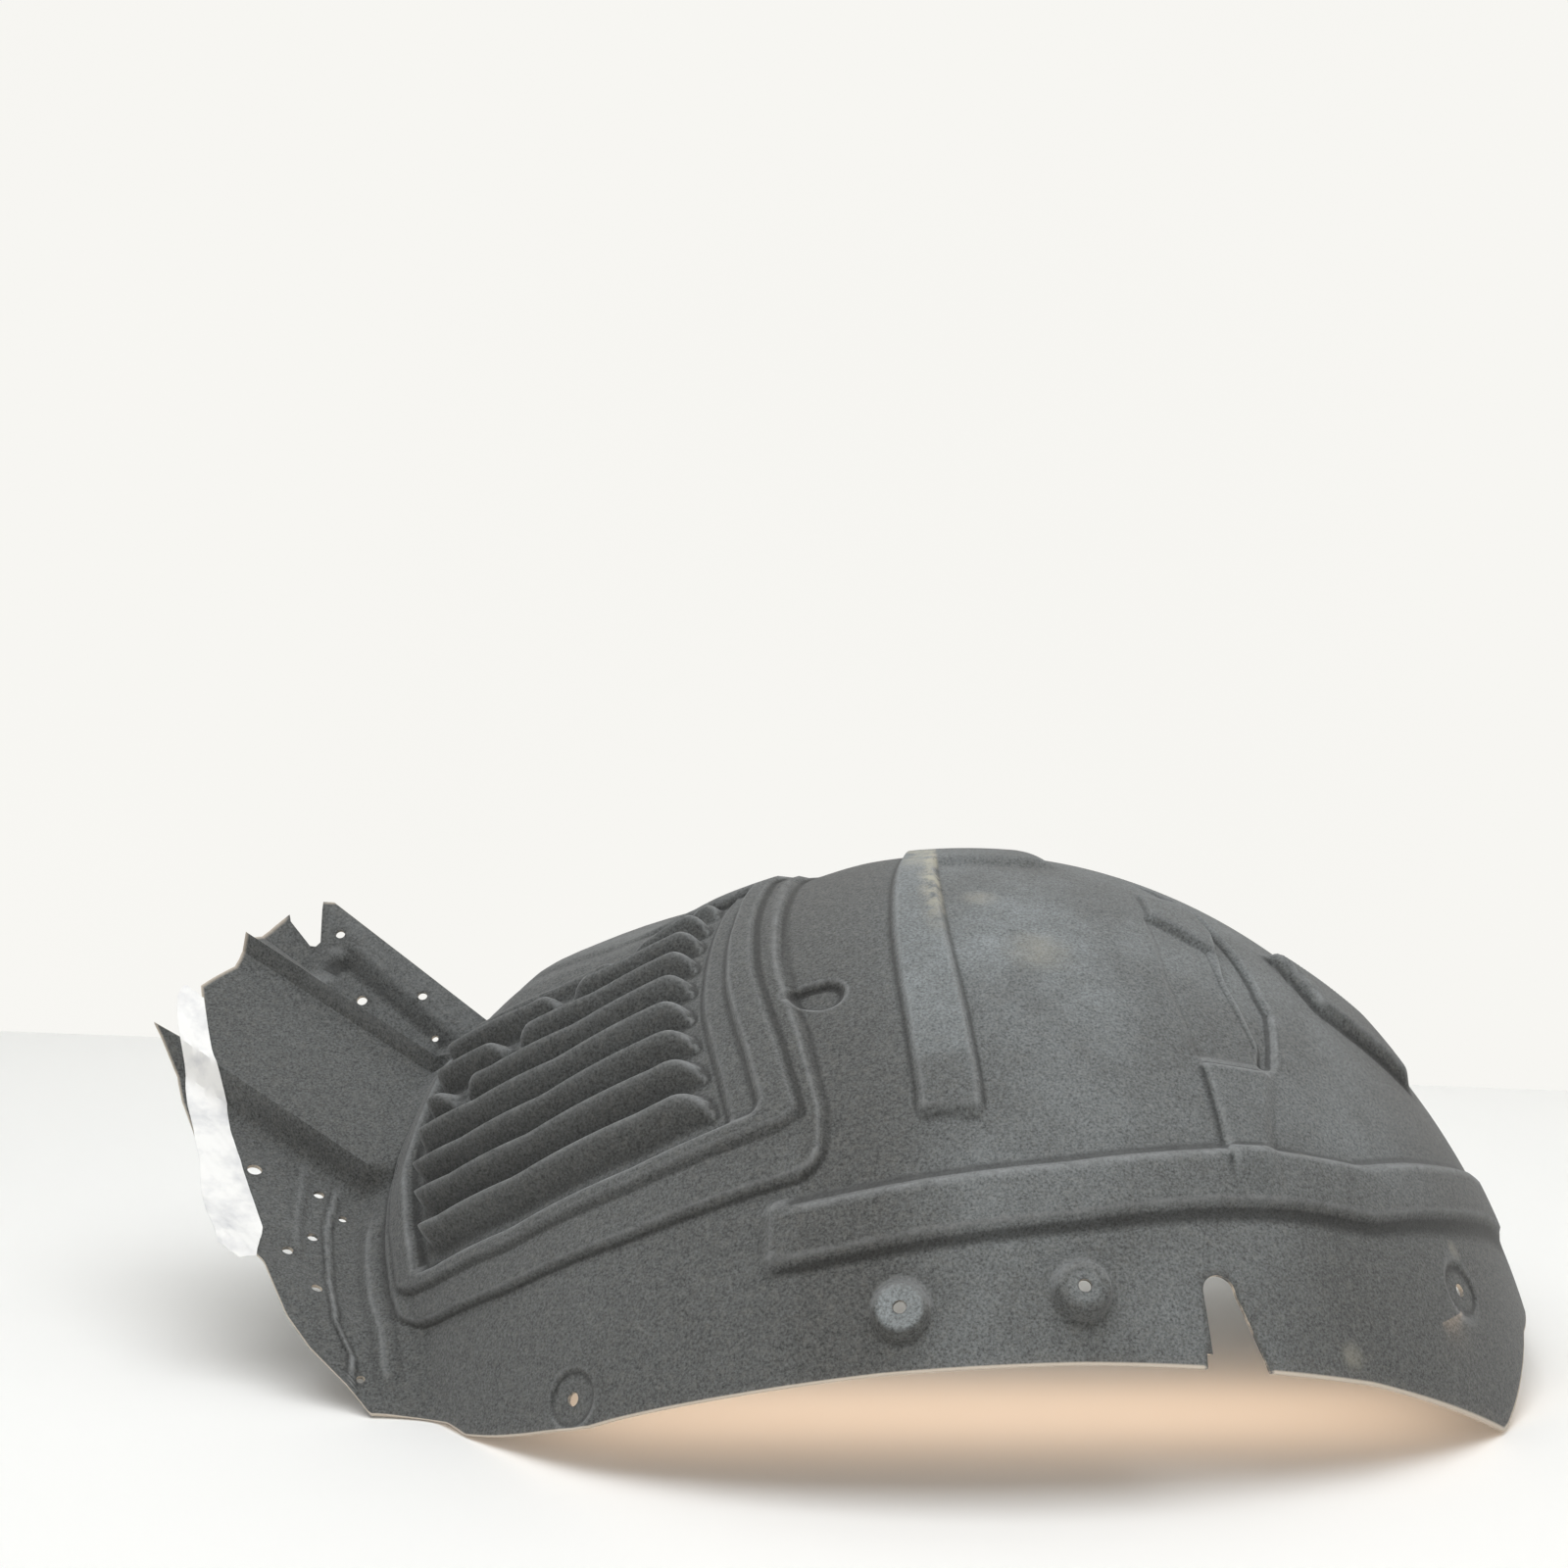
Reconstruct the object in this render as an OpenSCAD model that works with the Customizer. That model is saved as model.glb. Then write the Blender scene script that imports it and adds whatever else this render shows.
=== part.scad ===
// Front wheel arch liner: one moulded sheet of needle felt, lying on its lip as in the picture.
// Millimetres, +Z up, floor at z = 0, origin under the middle of the bounding box.
// The sheet is a shell of revolution about the wheel axis, which leans back in this pose.
// A place on it is given by its angle round the wheel axis and its height angle up the section.

/* [Sheet] */
// Thickness of the felt sheet
sheet_t = 2.4; // [2:0.1:3]

/* [Arch] */
// Radius of the arch at the lip
arch_r = 372; // [350:1:390]
// Depth from the plane of the lip to the top of the section
arch_depth = 425; // [400:1:440]
// Backward lean of the wheel axis in the resting pose, degrees
axis_lean = 29.9; // [29:0.1:31]
// Height angle at which the sheet ends round the strut opening, degrees
strut_open_a = 75; // [74:0.5:76]

/* [Louvre panel] */
// Height of the first step of the panel frame
frame_step_h = 5; // [3:0.5:7]
// Height of the ridge round the louvres
frame_ridge_h = 9; // [6:0.5:11]
// Height of the louvre crests over the panel floor
louvre_h = 15; // [8:0.5:18]
// Number of full louvres
louvre_n = 8; // [7:1:8]
// Angle between louvre crests, degrees
louvre_pitch = 4.5; // [4.3:0.1:4.5]

/* [Raised bands and pads] */
// Height of the long band over the lip
band_h = 5.5; // [3:0.5:8]
// Height of the upright pad in the middle
pad_h = 4.5; // [3:0.5:8]
// Height of the block at the far right
block_h = 9; // [6:0.5:12]
// Depth of the curved groove on the right
pocket_h = 5; // [2:0.5:7]
// Depth of the flat field beside the groove
pocket_floor_h = 2; // [0:0.5:4]
// Height of the short leg under the groove
leg_h = 4.5; // [2:0.5:6]
// Height of the strip over the field
strip_h = 3.5; // [2:0.5:6]
// Depth of the keyhole dimple
dimple_h = 5; // [2:0.5:7]

/* [Bosses and holes] */
// Bore of the lip screw holes
lip_hole_d = 8.2; // [6:0.2:10]
// Bore of the boss screw holes
boss_hole_d = 7.4; // [6:0.2:9]
// Foot diameter of the bosses
boss_foot_d = 35; // [30:0.5:38]
// Top diameter of the bosses
boss_top_d = 29; // [26:0.5:30]
// Height of the left boss
boss_a_h = 7; // [5:0.5:10]
// Height of the right boss
boss_b_h = 11; // [8:0.5:14]
// Bore of the small flange holes
flange_hole_d = 6.4; // [5:0.2:8]
// Width of the slot in the lip
slot_w = 20; // [16:1:22]

/* [End flange] */
// Rise of the broad middle face over the lower flange
flange_rise = 18; // [12:1:22]
// Drop behind the ridge to the rear flange
flange_drop = 28; // [20:1:32]
// Share of the flange width that is kept
flange_w = 1; // [0.9:0.01:1.05]

/* [Label] */
// Thickness of the paper label
label_t = 0.5; // [0.4:0.1:1]

/* [Hidden] */
axis_x = 90.11;
axis_y = 47.245;
axis_z = -105.54;
cl = cos(axis_lean);
sl = sin(axis_lean);
seat_h = 1.6;
lip_seat_d = 32;
label_gap = 0.25;

// Places on the wall: angle round the axis and height angle
boss_a = [-8.4, 4.5];
boss_b = [7, 5.9];
lip_hole_a = [-40, 0.4];
lip_hole_b = [50.5, 10.9];
slot_at = [21, 4];
// Flange holes: row, distance from the root, share of the bore
flange_holes = [[28.25, 68, 1.5], [32, 26, 1.1], [23.5, 27, 1.1], [19, 44, 1.1], [15.25, 28, 1.1],
    [30.25, 9, 0.9], [4.2, 5, 0.8], [61, 96, 1], [61.4, 40, 1], [59.3, 67, 1.1], [60.25, 21, 0.7]];

// Fullness of the section and radius factor, by angle round the axis
power_t = [[-82, 2.68], [-70, 2.6], [-60, 2.31], [-50, 2.13], [-35, 2.01], [-20, 2]];
radius_t = [[-77, 1.05], [-70, 1.045], [-60, 1.02], [-48, 1]];
// Height angle of the trimmed lip
lip_t = [[-62, 1.16], [-60, 0.95], [-57, 0.55], [-54, -0.3], [-50, -0.9], [-46, -1.3], [-38, -1.9],
    [-23, -1.1], [-10, -0.3], [7, 0.4], [35, 0.9], [55, 0], [58, 2.6], [66, 10.2], [76, 15], [90, 19.5],
    [105, 24]];
// Rise of the long band along the arch
rise_t = [[-17, 0], [-5.8, 1.5], [7, 3], [12.5, 3.9], [21, 5.1], [28, 5.7], [38, 5.9], [46, 7.7],
    [62, 10.6], [80, 12], [105, 12]];
rise_w_t = [[0, 0], [7, 1], [24, 1], [46, 0]];
// Slope of the rows across the louvre panel
slope_t = [[0, 0], [7, 0.1], [13, 0.2], [18.7, 0.27], [23.5, 0.3], [28, 0.33], [32.5, 0.37],
    [37, 0.39], [41.5, 0.42], [50.5, 0.47], [55, 0.5], [60, 0.45], [64, 0.36], [75, 0]];
// Left and right edges of the panel, by row
left_t = [[0, -58], [13, -61.5], [19, -65], [26.5, -69], [35, -72.5], [57, -75.5], [75, -78]];
skew_t = [[14, 0], [18, 0.5], [26, 4], [32, 7.2], [37, 9.8], [53, 17], [61, 21]];
panel_right_a = -17.3;
// How far the columns of the wall lean with the panel, and swing with the pocket
lean_t = [[-17.3, 1], [-6.6, 0.42], [-1, 0.35], [8, 0.2], [19, 0]];
swing_t = [[29, 0], [34, 1.3], [41, 3], [48.5, 6], [75, 6]];
swing_w_t = [[8, 0], [19, 1], [33, 1], [62, 0]];
flare_t = [[0, 28], [20, 24], [40, 22], [60, 12], [75, 4]];
// Sides of the curved groove of the pocket and right side of the leg below it, by height angle
groove_in_t = [[27.7, 29.3], [31, 30.7], [40, 31], [44, 32], [47, 33.2], [52, 32.8], [60, 27]];
groove_out_t = [[27.7, 31.6], [31.7, 33.9], [35.8, 36.2], [40, 36.8], [48.5, 36.7], [53.5, 36.2], [60, 31]];
leg_right_t = [[17.2, 27.2], [21.8, 28.3], [27.7, 30.8]];
// Width of the end flange, by row
flange_t = [[0, 1], [1.8, 14], [3.75, 38], [6.5, 52], [13.4, 66], [14.6, 83], [26.2, 107], [35.7, 129],
    [38.6, 149], [39.3, 110], [48.2, 138], [55.2, 131], [56.6, 134], [58.6, 136], [60.2, 127], [61, 123],
    [62.2, 110], [62.6, 2], [75, 2]];
// Direction of the flange rows, steeper on the rear flange
function flange_dir(m) = [-1, -0.19, 0.71 + 0.25 * ease(56.6, 62, m)];
flange_n = [0.03, 0.95, 0.3];
// Square directions of the screw holes in the lower and the rear flange
low_n = [0.275, 0.748, 0.604];
rear_n = [-0.03, 0.985, 0.17];

function ease(a, b, x) = let (t = max(0, min(1, (x - a) / (b - a)))) t * t * (3 - 2 * t);
function bump(a, b, c, d, x) = ease(a, b, x) * (1 - ease(c, d, x));
function unit(v) = v / norm(v);
function lip_a(f) = lookup(f, lip_t);

// Arch frame (across, outward, inboard) to the resting pose
function place(q) = [axis_x + q[0], axis_y - q[1] * cl + q[2] * sl, axis_z + q[1] * sl + q[2] * cl];

// Smooth section without the moulded relief
function base(f, a) =
    let (n = 2 / lookup(f, power_t),
        r = arch_r * lookup(f, radius_t) * pow(abs(cos(a)), n),
        h = arch_depth * sign(a) * pow(abs(sin(a)), n))
    [r * sin(f), r * cos(f), h];

// Height angle of a row at angle f
function row_a(m, f) =
    let (lo = lookup(f, lip_t),
        s = m + lookup(m, slope_t) * (min(f, panel_right_a) + 32)
            + lookup(f, rise_t) * lookup(m, rise_w_t))
    m >= row_top ? strut_open_a : m <= 0 ? lo : max(s + lo * max(0, 1 - m / 6), lo + 0.4 * m);

// Angle round the axis of a panel place t (0 left edge, 1 right edge) and of a place to its right
function right_f(m) = panel_right_a - lookup(m, skew_t);
function panel_f(t, m) = let (l = lookup(m, left_t)) l + (right_f(m) - l) * t;
function wall_f(c, m) =
    c - lookup(m, skew_t) * lookup(c, lean_t) + lookup(m, swing_t) * lookup(c, swing_w_t);

// Outward direction of the smooth section
function out_n(f, a) =
    unit(cross(base(f, a + 0.5) - base(f, a - 0.5), base(f + 0.5, a) - base(f - 0.5, a)));

// Sawtooth of the louvres: short shelf above each crest, long flank up to the next
function saw(m) =
    let (x = (m - louvre_a0) / louvre_pitch, p = x - floor(x))
    x < 0.2 || x > louvre_n + 1 ? 0 : p < 0.2 ? 1 - p / 0.2 : ease(0.3, 0.95, p);

// Louvre reach across the panel, with the slanting row of webs over the upper ones
function reach(t, m) =
    let (w = 0.19 + 0.127 * (m - 41.5) / 4.5)
    bump(0.075, 0.105, 0.79, 0.85, t)
        * (1 - 0.8 * (m < 39.2 ? 0 : bump(w - 0.08, w - 0.01, w + 0.01, w + 0.08, t)));

// Relief of the louvre panel and its stepped frame, dying out over the top at its left
function panel(t, m) =
    panel_full(t, m) * (1 - 0.85 * ease(50, 58, m) * (1 - ease(0.45, 0.8, t)));
function panel_full(t, m) =
    let (top = louvre_a0 + louvre_pitch * (louvre_n + 1))
    frame_step_h * bump(-0.03, -0.01, 0.965, 1, t) * bump(12.6, 13.8, top + 1.4, top + 3, m)
    + (frame_ridge_h - frame_step_h) * bump(-0.02, 0, 0.935, 0.965, t)
        * bump(16.4, 17.4, top, top + 1.4, m)
    - (frame_ridge_h - 3 * ease(0.81, 0.84, t)) * bump(0.035, 0.075, 0.91, 0.935, t)
        * bump(louvre_a0, louvre_a0 + 0.8, top - 0.5, top, m)
    + louvre_h * reach(t, m) * saw(m);

// Relief of the rest of the wall
function band(f, a) =
    let (b = a - lookup(f, rise_t))
    band_h * bump(8.1, 9.3, 13, 14.1, b) * bump(-21.2, -19.8, 68, 74, f);
function pad(c, f, a) =
    pad_h * max(bump(-7.3, -6.1, -1.6, -0.4, c) * bump(20.6, 22, 68, 70, a),
        bump(-13, -11, 15, 18, f) * bump(60, 61.6, 68, 70, a));
function dimple(f, a) =
    let (x = (f + 18.2) * 5.3, y = (a - 35.2) * 7.1, w = x < 0 ? 12 + x * 0.2 : 12)
    -dimple_h * (1 - ease(0.55, 1.1, norm([x < 0 ? x * 0.36 : x, y]) / w));
function pocket(c, a) =
    let (in = lookup(a, groove_in_t), out = lookup(a, groove_out_t), top = 48.7 - 0.58 * (c - 23.3))
    -pocket_h * bump(in - 0.2, in + 1, out - 1, out + 0.2, c) * bump(27.6, 29.2, 55, 60, a)
    - pocket_floor_h * bump(21.4, 22.8, 30, 31, c) * bump(27.6, 29.2, top - 1.2, top, a);
function leg(c, a) =
    let (right = lookup(a, leg_right_t))
    leg_h * bump(21.8, 23, right - 1, right + 0.2, c) * bump(17.2, 18.6, 26.8, 28, a);
function strip(c, a) =
    let (low = 48.7 - 0.58 * (c - 23.3), right = lookup(a, groove_in_t))
    strip_h * bump(22.4, 23.6, right - 1, right, c) * bump(low - 0.8, low + 1, 53, 56, a);
function block(f, a) =
    let (b = a + 0.41 * (f - 45.7))
    block_h * bump(45.6, 47.2, 59, 62, f) * bump(37.8, 40, 45.8, 48, b);
function wall_relief(c, f, a) =
    band(f, a) + pad(c, f, a) + dimple(f, a) + pocket(c, a) + leg(c, a) + strip(c, a) + block(f, a);

// Step of the end flange over its own plane, by row
function flange_step(m) =
    flange_rise * ease(36, 38.4, m)
        * (m > 56.6 ? 1 - ease(56.6, 58.8, m) : 1 - (m - 38.5) / 18.1 * (m > 38.5 ? 1 : 0))
    - flange_drop * ease(56.6, 59, m);

// Rows from the lip to the strut opening, and the few that run on to the right
louvre_a0 = 19;
row_top = 75;
low_rows = [0, 3, 6.65, 7.65, 9.2, 10.55, 11.5, 12.6, 13.8, 16.4, 17.4];
high_rows = [louvre_a0 + louvre_pitch * (louvre_n + 1), 60.9, 62.2, 62.6, 66, 70, row_top];
rows = concat(low_rows,
    [for (k = [0:louvre_n]) for (p = [0, 0.2, 0.34, 0.88]) louvre_a0 + louvre_pitch * (k + p)], high_rows);
kept = concat([for (i = [0:len(low_rows) - 1]) i],
    [for (k = [0:louvre_n]) for (p = [0, 2]) len(low_rows) + 4 * k + p],
    [for (i = [0, 2, 4, 5, 6]) len(rows) - 7 + i]);
panel_ts = [0, 0.035, 0.055, 0.075, 0.105, 0.15, 0.25, 0.32, 0.38, 0.45, 0.51, 0.57, 0.63, 0.69, 0.74, 0.78,
    0.81, 0.84, 0.875, 0.91, 0.935, 0.965, 1];
wall_cs = [-14.6, -11.5, -9, -7.3, -6.1, -4, -1.6, -0.4, 2.5, 6, 10, 14.5, 18, 20.4, 21.8, 23, 25, 27.2,
    28.6, 30, 31.2, 32.4, 34, 35.6, 36.9, 39, 42, 45.4, 47.2, 50.5, 55, 59, 62, 66, 70, 76, 84, 94, 105];
flange_ps = [1, 0.8, 0.6, 0.4, 0.2, 0.06];

// Root of the end flange: the section a little beyond the panel, flared outward
function root(m) =
    let (f = lookup(m, left_t) - 4.5)
    base(f, row_a(m, f)) + lookup(m, flare_t) * [sin(f), cos(f), 0] + flange_step(m) * flange_n;
function root_n(m) =
    let (f = lookup(m, left_t) - 4.5)
    1.3 * unit(out_n(f, row_a(m, f)) + unit(flange_n));
function fillet(m) =
    let (f = lookup(m, left_t) - 2.2)
    [base(f, row_a(m, f)) + 0.2 * lookup(m, flare_t) * [sin(f), cos(f), 0], out_n(f, row_a(m, f))];

// Outer skin and its inward offset, left part with the flange, then the right part
function skin(f, a, h) = let (n = out_n(f, a)) [base(f, a) + h * n, n];
left_skin = [for (m = rows) concat(
    [for (p = flange_ps) [root(m) + p * flange_w * lookup(m, flange_t) * flange_dir(m), unit(flange_n)]],
    [[root(m), root_n(m)], fillet(m)],
    [for (t = panel_ts) let (f = panel_f(t, m), a = row_a(m, f)) skin(f, a, panel(t, m) + band(f, a))])];
right_skin = [for (i = kept) let (m = rows[i])
    [for (c = wall_cs) let (f = wall_f(c, m), a = row_a(m, f)) skin(f, a, wall_relief(c, f, a))]];
nr = len(rows);
nl = len(left_skin[0]);
nk = len(kept);
nw = len(wall_cs);
outer = concat([for (r = left_skin) for (s = r) place(s[0])],
    [for (r = right_skin) for (s = r) place(s[0])]);
inner = concat([for (r = left_skin) for (s = r) place(s[0] - sheet_t * s[1])],
    [for (r = right_skin) for (s = r) place(s[0] - sheet_t * s[1])]);
n_out = len(outer);
function li(i, j) = i * nl + j;
function ri(i, j) = nr * nl + i * nw + j;
skin_faces = concat(
    [for (i = [0:nr - 2]) for (j = [0:nl - 2]) each [[li(i, j), li(i + 1, j), li(i + 1, j + 1)],
        [li(i, j), li(i + 1, j + 1), li(i, j + 1)]]],
    [for (k = [0:nk - 2]) each concat(
        [for (i = [kept[k]:kept[k + 1] - 1]) [li(i, nl - 1), li(i + 1, nl - 1), ri(k, 0)]],
        [[li(kept[k + 1], nl - 1), ri(k + 1, 0), ri(k, 0)]])],
    [for (i = [0:nk - 2]) for (j = [0:nw - 2]) each [[ri(i, j), ri(i + 1, j), ri(i + 1, j + 1)],
        [ri(i, j), ri(i + 1, j + 1), ri(i, j + 1)]]]);
rim = concat([for (j = [0:nl - 1]) li(0, j)], [for (j = [0:nw - 1]) ri(0, j)],
    [for (i = [1:nk - 1]) ri(i, nw - 1)], [for (j = [nw - 2:-1:0]) ri(nk - 1, j)],
    [for (j = [nl - 1:-1:0]) li(nr - 1, j)], [for (i = [nr - 2:-1:1]) li(i, 0)]);
rim_faces = [for (i = [0:len(rim) - 1]) let (a = rim[i], b = rim[(i + 1) % len(rim)])
    each [[a, b, b + n_out], [a, b + n_out, a + n_out]]];

// Moves its children to a place on the wall, with Z along the outward direction
module on_wall(f, a) {
    n = out_n(f, a);
    o = place(base(f, a));
    z = place(base(f, a) + n) - o;
    x = unit(place(base(f + 0.5, a)) - place(base(f - 0.5, a)));
    y = cross(z, x);
    multmatrix([[x[0], y[0], z[0], o[0]], [x[1], y[1], z[1], o[1]], [x[2], y[2], z[2], o[2]], [0, 0, 0, 1]])
        children();
}

module sheet() {
    polyhedron(points = concat(outer, inner),
        faces = concat(skin_faces, [for (t = skin_faces) [t[2] + n_out, t[1] + n_out, t[0] + n_out]],
            rim_faces));
}

// The same on the end flange, with X to the right in its plane
module on_flange(m, p) {
    o = place(root(m) + p * flange_w * flange_dir(m));
    z = unit(place(m < 56 ? low_n : rear_n) - place([0, 0, 0]));
    x = unit([1, 0, 0] - z[0] * z);
    y = cross(z, x);
    multmatrix([[x[0], y[0], z[0], o[0]], [x[1], y[1], z[1], o[1]], [x[2], y[2], z[2], o[2]], [0, 0, 0, 1]])
        children();
}

// Round boss, a hollow cone with a flat top
module boss(h) {
    translate([0, 0, -sheet_t / 2])
        cylinder(h = h + sheet_t / 2, d1 = boss_foot_d, d2 = boss_top_d, $fn = 64);
}
module boss_hollow(h) {
    wall = 2 * sheet_t - 0.6;
    slope = (boss_foot_d - boss_top_d) / h;
    translate([0, 0, -4 * sheet_t])
        cylinder(h = h + 3 * sheet_t, d1 = boss_foot_d - wall + 4 * sheet_t * slope,
            d2 = boss_top_d - wall + sheet_t * slope, $fn = 64);
}

// Shallow round seat pressed into the sheet, seen from inside and outside
module seat_back(d) {
    translate([0, 0, -sheet_t - seat_h]) cylinder(h = seat_h + sheet_t / 2, d = d + sheet_t, $fn = 48);
}
module seat_front(d) {
    translate([0, 0, -seat_h]) cylinder(h = 10, d1 = d, d2 = d + 8, $fn = 48);
}
module bore(d) {
    cylinder(h = cut_depth, d = d, center = true, $fn = 48);
}

// Label: rows on the flange and its two long edges, by row; its lower end hangs past the flange
label_rows = [for (m = rows) if (m > 10 && m < 47.5) m];
label_l_t = [[10, 95], [15.5, 101], [23, 103], [28.5, 111], [36.5, 124], [44, 144], [48, 146]];
label_r_t = [[10, 84], [13, 70], [19.5, 60], [27.75, 77], [36, 94], [39.25, 107], [48, 136]];
module paper() {
    side = [for (m = label_rows) for (t = [0, 0.5, 1])
        let (p = lookup(m, label_l_t) * (1 - t) + lookup(m, label_r_t) * t)
        root(m) + p * flange_w * flange_dir(m)];
    n = len(side);
    k = len(label_rows);
    lift = unit(flange_n);
    faces_a = [for (i = [0:k - 2]) for (j = [0:1])
        let (a = 3 * i + j)
        each [[a, a + 4, a + 3], [a, a + 1, a + 4]]];
    edge = concat([0, 1, 2], [for (i = [1:k - 1]) 3 * i + 2], [3 * k - 2, 3 * k - 3],
        [for (i = [k - 2:-1:1]) 3 * i]);
    polyhedron(points = concat([for (q = side) place(q + (label_gap + label_t) * lift)],
            [for (q = side) place(q + label_gap * lift)]),
        faces = concat([for (t = faces_a) [t[2], t[1], t[0]]],
            [for (t = faces_a) [t[0] + n, t[1] + n, t[2] + n]],
            [for (i = [0:len(edge) - 1]) let (a = edge[i], b = edge[(i + 1) % len(edge)])
                each [[a, b, a + n], [b, b + n, a + n]]]));
}

// Cuts through the sheet: depth of a cut, the slot's round end, mouth and step, and the notch
cut_depth = 60;
slot_end_x = -9.5;
slot_reach = 29;
slot_mouth = [[-15, -40], [26, -40], [19, -24]];
slot_step_at = [-20, -45];
slot_step = [8, 28];
notch_at = [59.75, 107];
notch_outline = [[-19, 40], [-15, 20], [0, 0], [4, -0.6], [7, 2.6], [6.3, 29], [7, 45]];

module liner() {
    color([0.27, 0.29, 0.32]) difference() {
        union() {
            sheet();
            on_wall(boss_a[0], boss_a[1]) boss(boss_a_h);
            on_wall(boss_b[0], boss_b[1]) boss(boss_b_h);
            on_wall(lip_hole_a[0], lip_hole_a[1]) seat_back(lip_seat_d);
            on_wall(lip_hole_b[0], lip_hole_b[1]) seat_back(lip_seat_d);
        }
        on_wall(boss_a[0], boss_a[1]) {
            boss_hollow(boss_a_h);
            bore(boss_hole_d);
        }
        on_wall(boss_b[0], boss_b[1]) {
            boss_hollow(boss_b_h);
            bore(boss_hole_d);
        }
        on_wall(lip_hole_a[0], lip_hole_a[1]) {
            seat_front(lip_seat_d);
            bore(lip_hole_d);
        }
        on_wall(lip_hole_b[0], lip_hole_b[1]) {
            seat_front(lip_seat_d);
            bore(lip_hole_d);
        }
        on_wall(slot_at[0], slot_at[1]) linear_extrude(cut_depth, center = true) {
            hull() {
                translate([slot_end_x, slot_reach - slot_w / 2]) circle(d = slot_w, $fn = 48);
                polygon(slot_mouth);
            }
            translate(slot_step_at) square(slot_step);
        }
        for (h = flange_holes) on_flange(h[0], h[1]) bore(flange_hole_d * h[2]);
        on_flange(notch_at[0], notch_at[1]) linear_extrude(cut_depth, center = true) polygon(notch_outline);
    }
}

module paper_label() {
    color([0.93, 0.93, 0.92]) paper();
}

liner();
paper_label();
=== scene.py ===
"""Wheel arch liner: the moulded felt sheet, its paper label and the stage.

The felt is modelled as it is made: a flat blank is pressed to shape by the mould's functions,
and then punched. Along the blank, X from -1 to 0 is the end flange, 0 to 1 the root between
flange and panel, 1 to 2 the louvre panel, and from 2 up the wall, where one unit is ten columns.
Y is the row, from the lip up to the back edge, and Z the depth, 0 outside and -1 inside.
A place on the arch is an angle round the wheel axis (f) and a height angle up the section (a).
A column (c) is the angle round the axis before the mould's lines lean over.
Lengths in the form functions are millimetres, and angles are degrees.
"""

import math

import bpy
import numpy as np
from mathutils import Matrix, Vector


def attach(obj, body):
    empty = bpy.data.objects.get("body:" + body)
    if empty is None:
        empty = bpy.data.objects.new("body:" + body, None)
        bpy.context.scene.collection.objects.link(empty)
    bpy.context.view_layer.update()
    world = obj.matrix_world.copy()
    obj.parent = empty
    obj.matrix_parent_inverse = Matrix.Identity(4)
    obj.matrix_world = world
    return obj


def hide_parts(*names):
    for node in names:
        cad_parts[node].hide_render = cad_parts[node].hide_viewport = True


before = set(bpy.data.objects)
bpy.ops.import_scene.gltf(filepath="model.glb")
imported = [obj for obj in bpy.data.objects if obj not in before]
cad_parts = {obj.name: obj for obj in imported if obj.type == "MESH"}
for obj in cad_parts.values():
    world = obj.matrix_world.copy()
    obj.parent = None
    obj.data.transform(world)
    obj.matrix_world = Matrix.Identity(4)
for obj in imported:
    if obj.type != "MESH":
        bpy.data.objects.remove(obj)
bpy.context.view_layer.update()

bl_info = {
    "name": "Wheel arch liner",
    "version": (1, 0, 0),
    "blender": (4, 5, 0),
    "location": "3D View > Sidebar > Liner",
    "description": "Presses a felt wheel arch liner, sticks its paper label on and lights it",
    "category": "Add Mesh",
}

MM = 0.001

# Mould: control curves, each a list of (place, value). Section and lip go by the angle f

SECTION_POWER = [(-82, 2.68), (-70, 2.6), (-60, 2.31), (-50, 2.13), (-35, 2.01), (-20, 2)]
ARCH_SWELL = [(-77, 1.05), (-70, 1.045), (-60, 1.02), (-48, 1)]
LIP_ANGLE = [(-62, 1.16), (-60, 0.95), (-57, 0.55), (-54, -0.3), (-50, -0.9), (-46, -1.3),
             (-38, -1.9), (-23, -1.1), (-10, -0.3), (7, 0.4), (35, 0.9), (55, 0), (58, 2.6),
             (66, 10.2), (76, 15), (90, 19.5), (105, 24)]
BAND_RISE = [(-17, 0), (-5.8, 1.5), (7, 3), (12.5, 3.9), (21, 5.1), (28, 5.7), (38, 5.9),
             (46, 7.7), (62, 10.6), (80, 12), (105, 12)]

# By row
BAND_RISE_BY_ROW = [(0, 0), (7, 1), (24, 1), (46, 0)]
ROW_SLOPE = [(0, 0), (7, 0.1), (13, 0.2), (18.7, 0.27), (23.5, 0.3), (28, 0.33), (32.5, 0.37),
             (37, 0.39), (41.5, 0.42), (50.5, 0.47), (55, 0.5), (60, 0.45), (64, 0.36), (75, 0)]
PANEL_LEFT = [(0, -58), (13, -61.5), (19, -65), (26.5, -69), (35, -72.5), (57, -75.5), (75, -78)]
PANEL_SKEW = [(14, 0), (18, 0.5), (26, 4), (32, 7.2), (37, 9.8), (53, 17), (61, 21)]
POCKET_SWING = [(29, 0), (34, 1.3), (41, 3), (48.5, 6), (75, 6)]
ROOT_FLARE = [(0, 28), (20, 24), (40, 22), (60, 12), (62.6, 9), (66, 0), (75, 0)]
SHOULDER_DROP = [(59, 0), (61, 1.5), (63, 4.5), (65, 8), (67, 11), (69, 13), (71, 13.5), (75, 13)]
FLANGE_WIDTH = [(0, 1), (1.8, 14), (3.75, 38), (6.5, 52), (13.4, 66), (14.6, 83), (26.2, 107),
                (35.7, 129), (38.6, 149), (39.3, 110), (48.2, 138), (55.2, 131), (56.6, 134),
                (58.6, 136), (60.2, 127), (61, 123), (62.2, 110), (62.6, 2), (75, 2)]
FOLD_LINE = [(1.75, 12), (6.75, 9), (11.25, 19), (20.25, 16), (26.5, 18), (35.25, 15)]
LABEL_OUTER = [(10, 95), (15.5, 101), (23, 103), (28.5, 111), (36.5, 124), (44, 144), (48, 146)]
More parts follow.
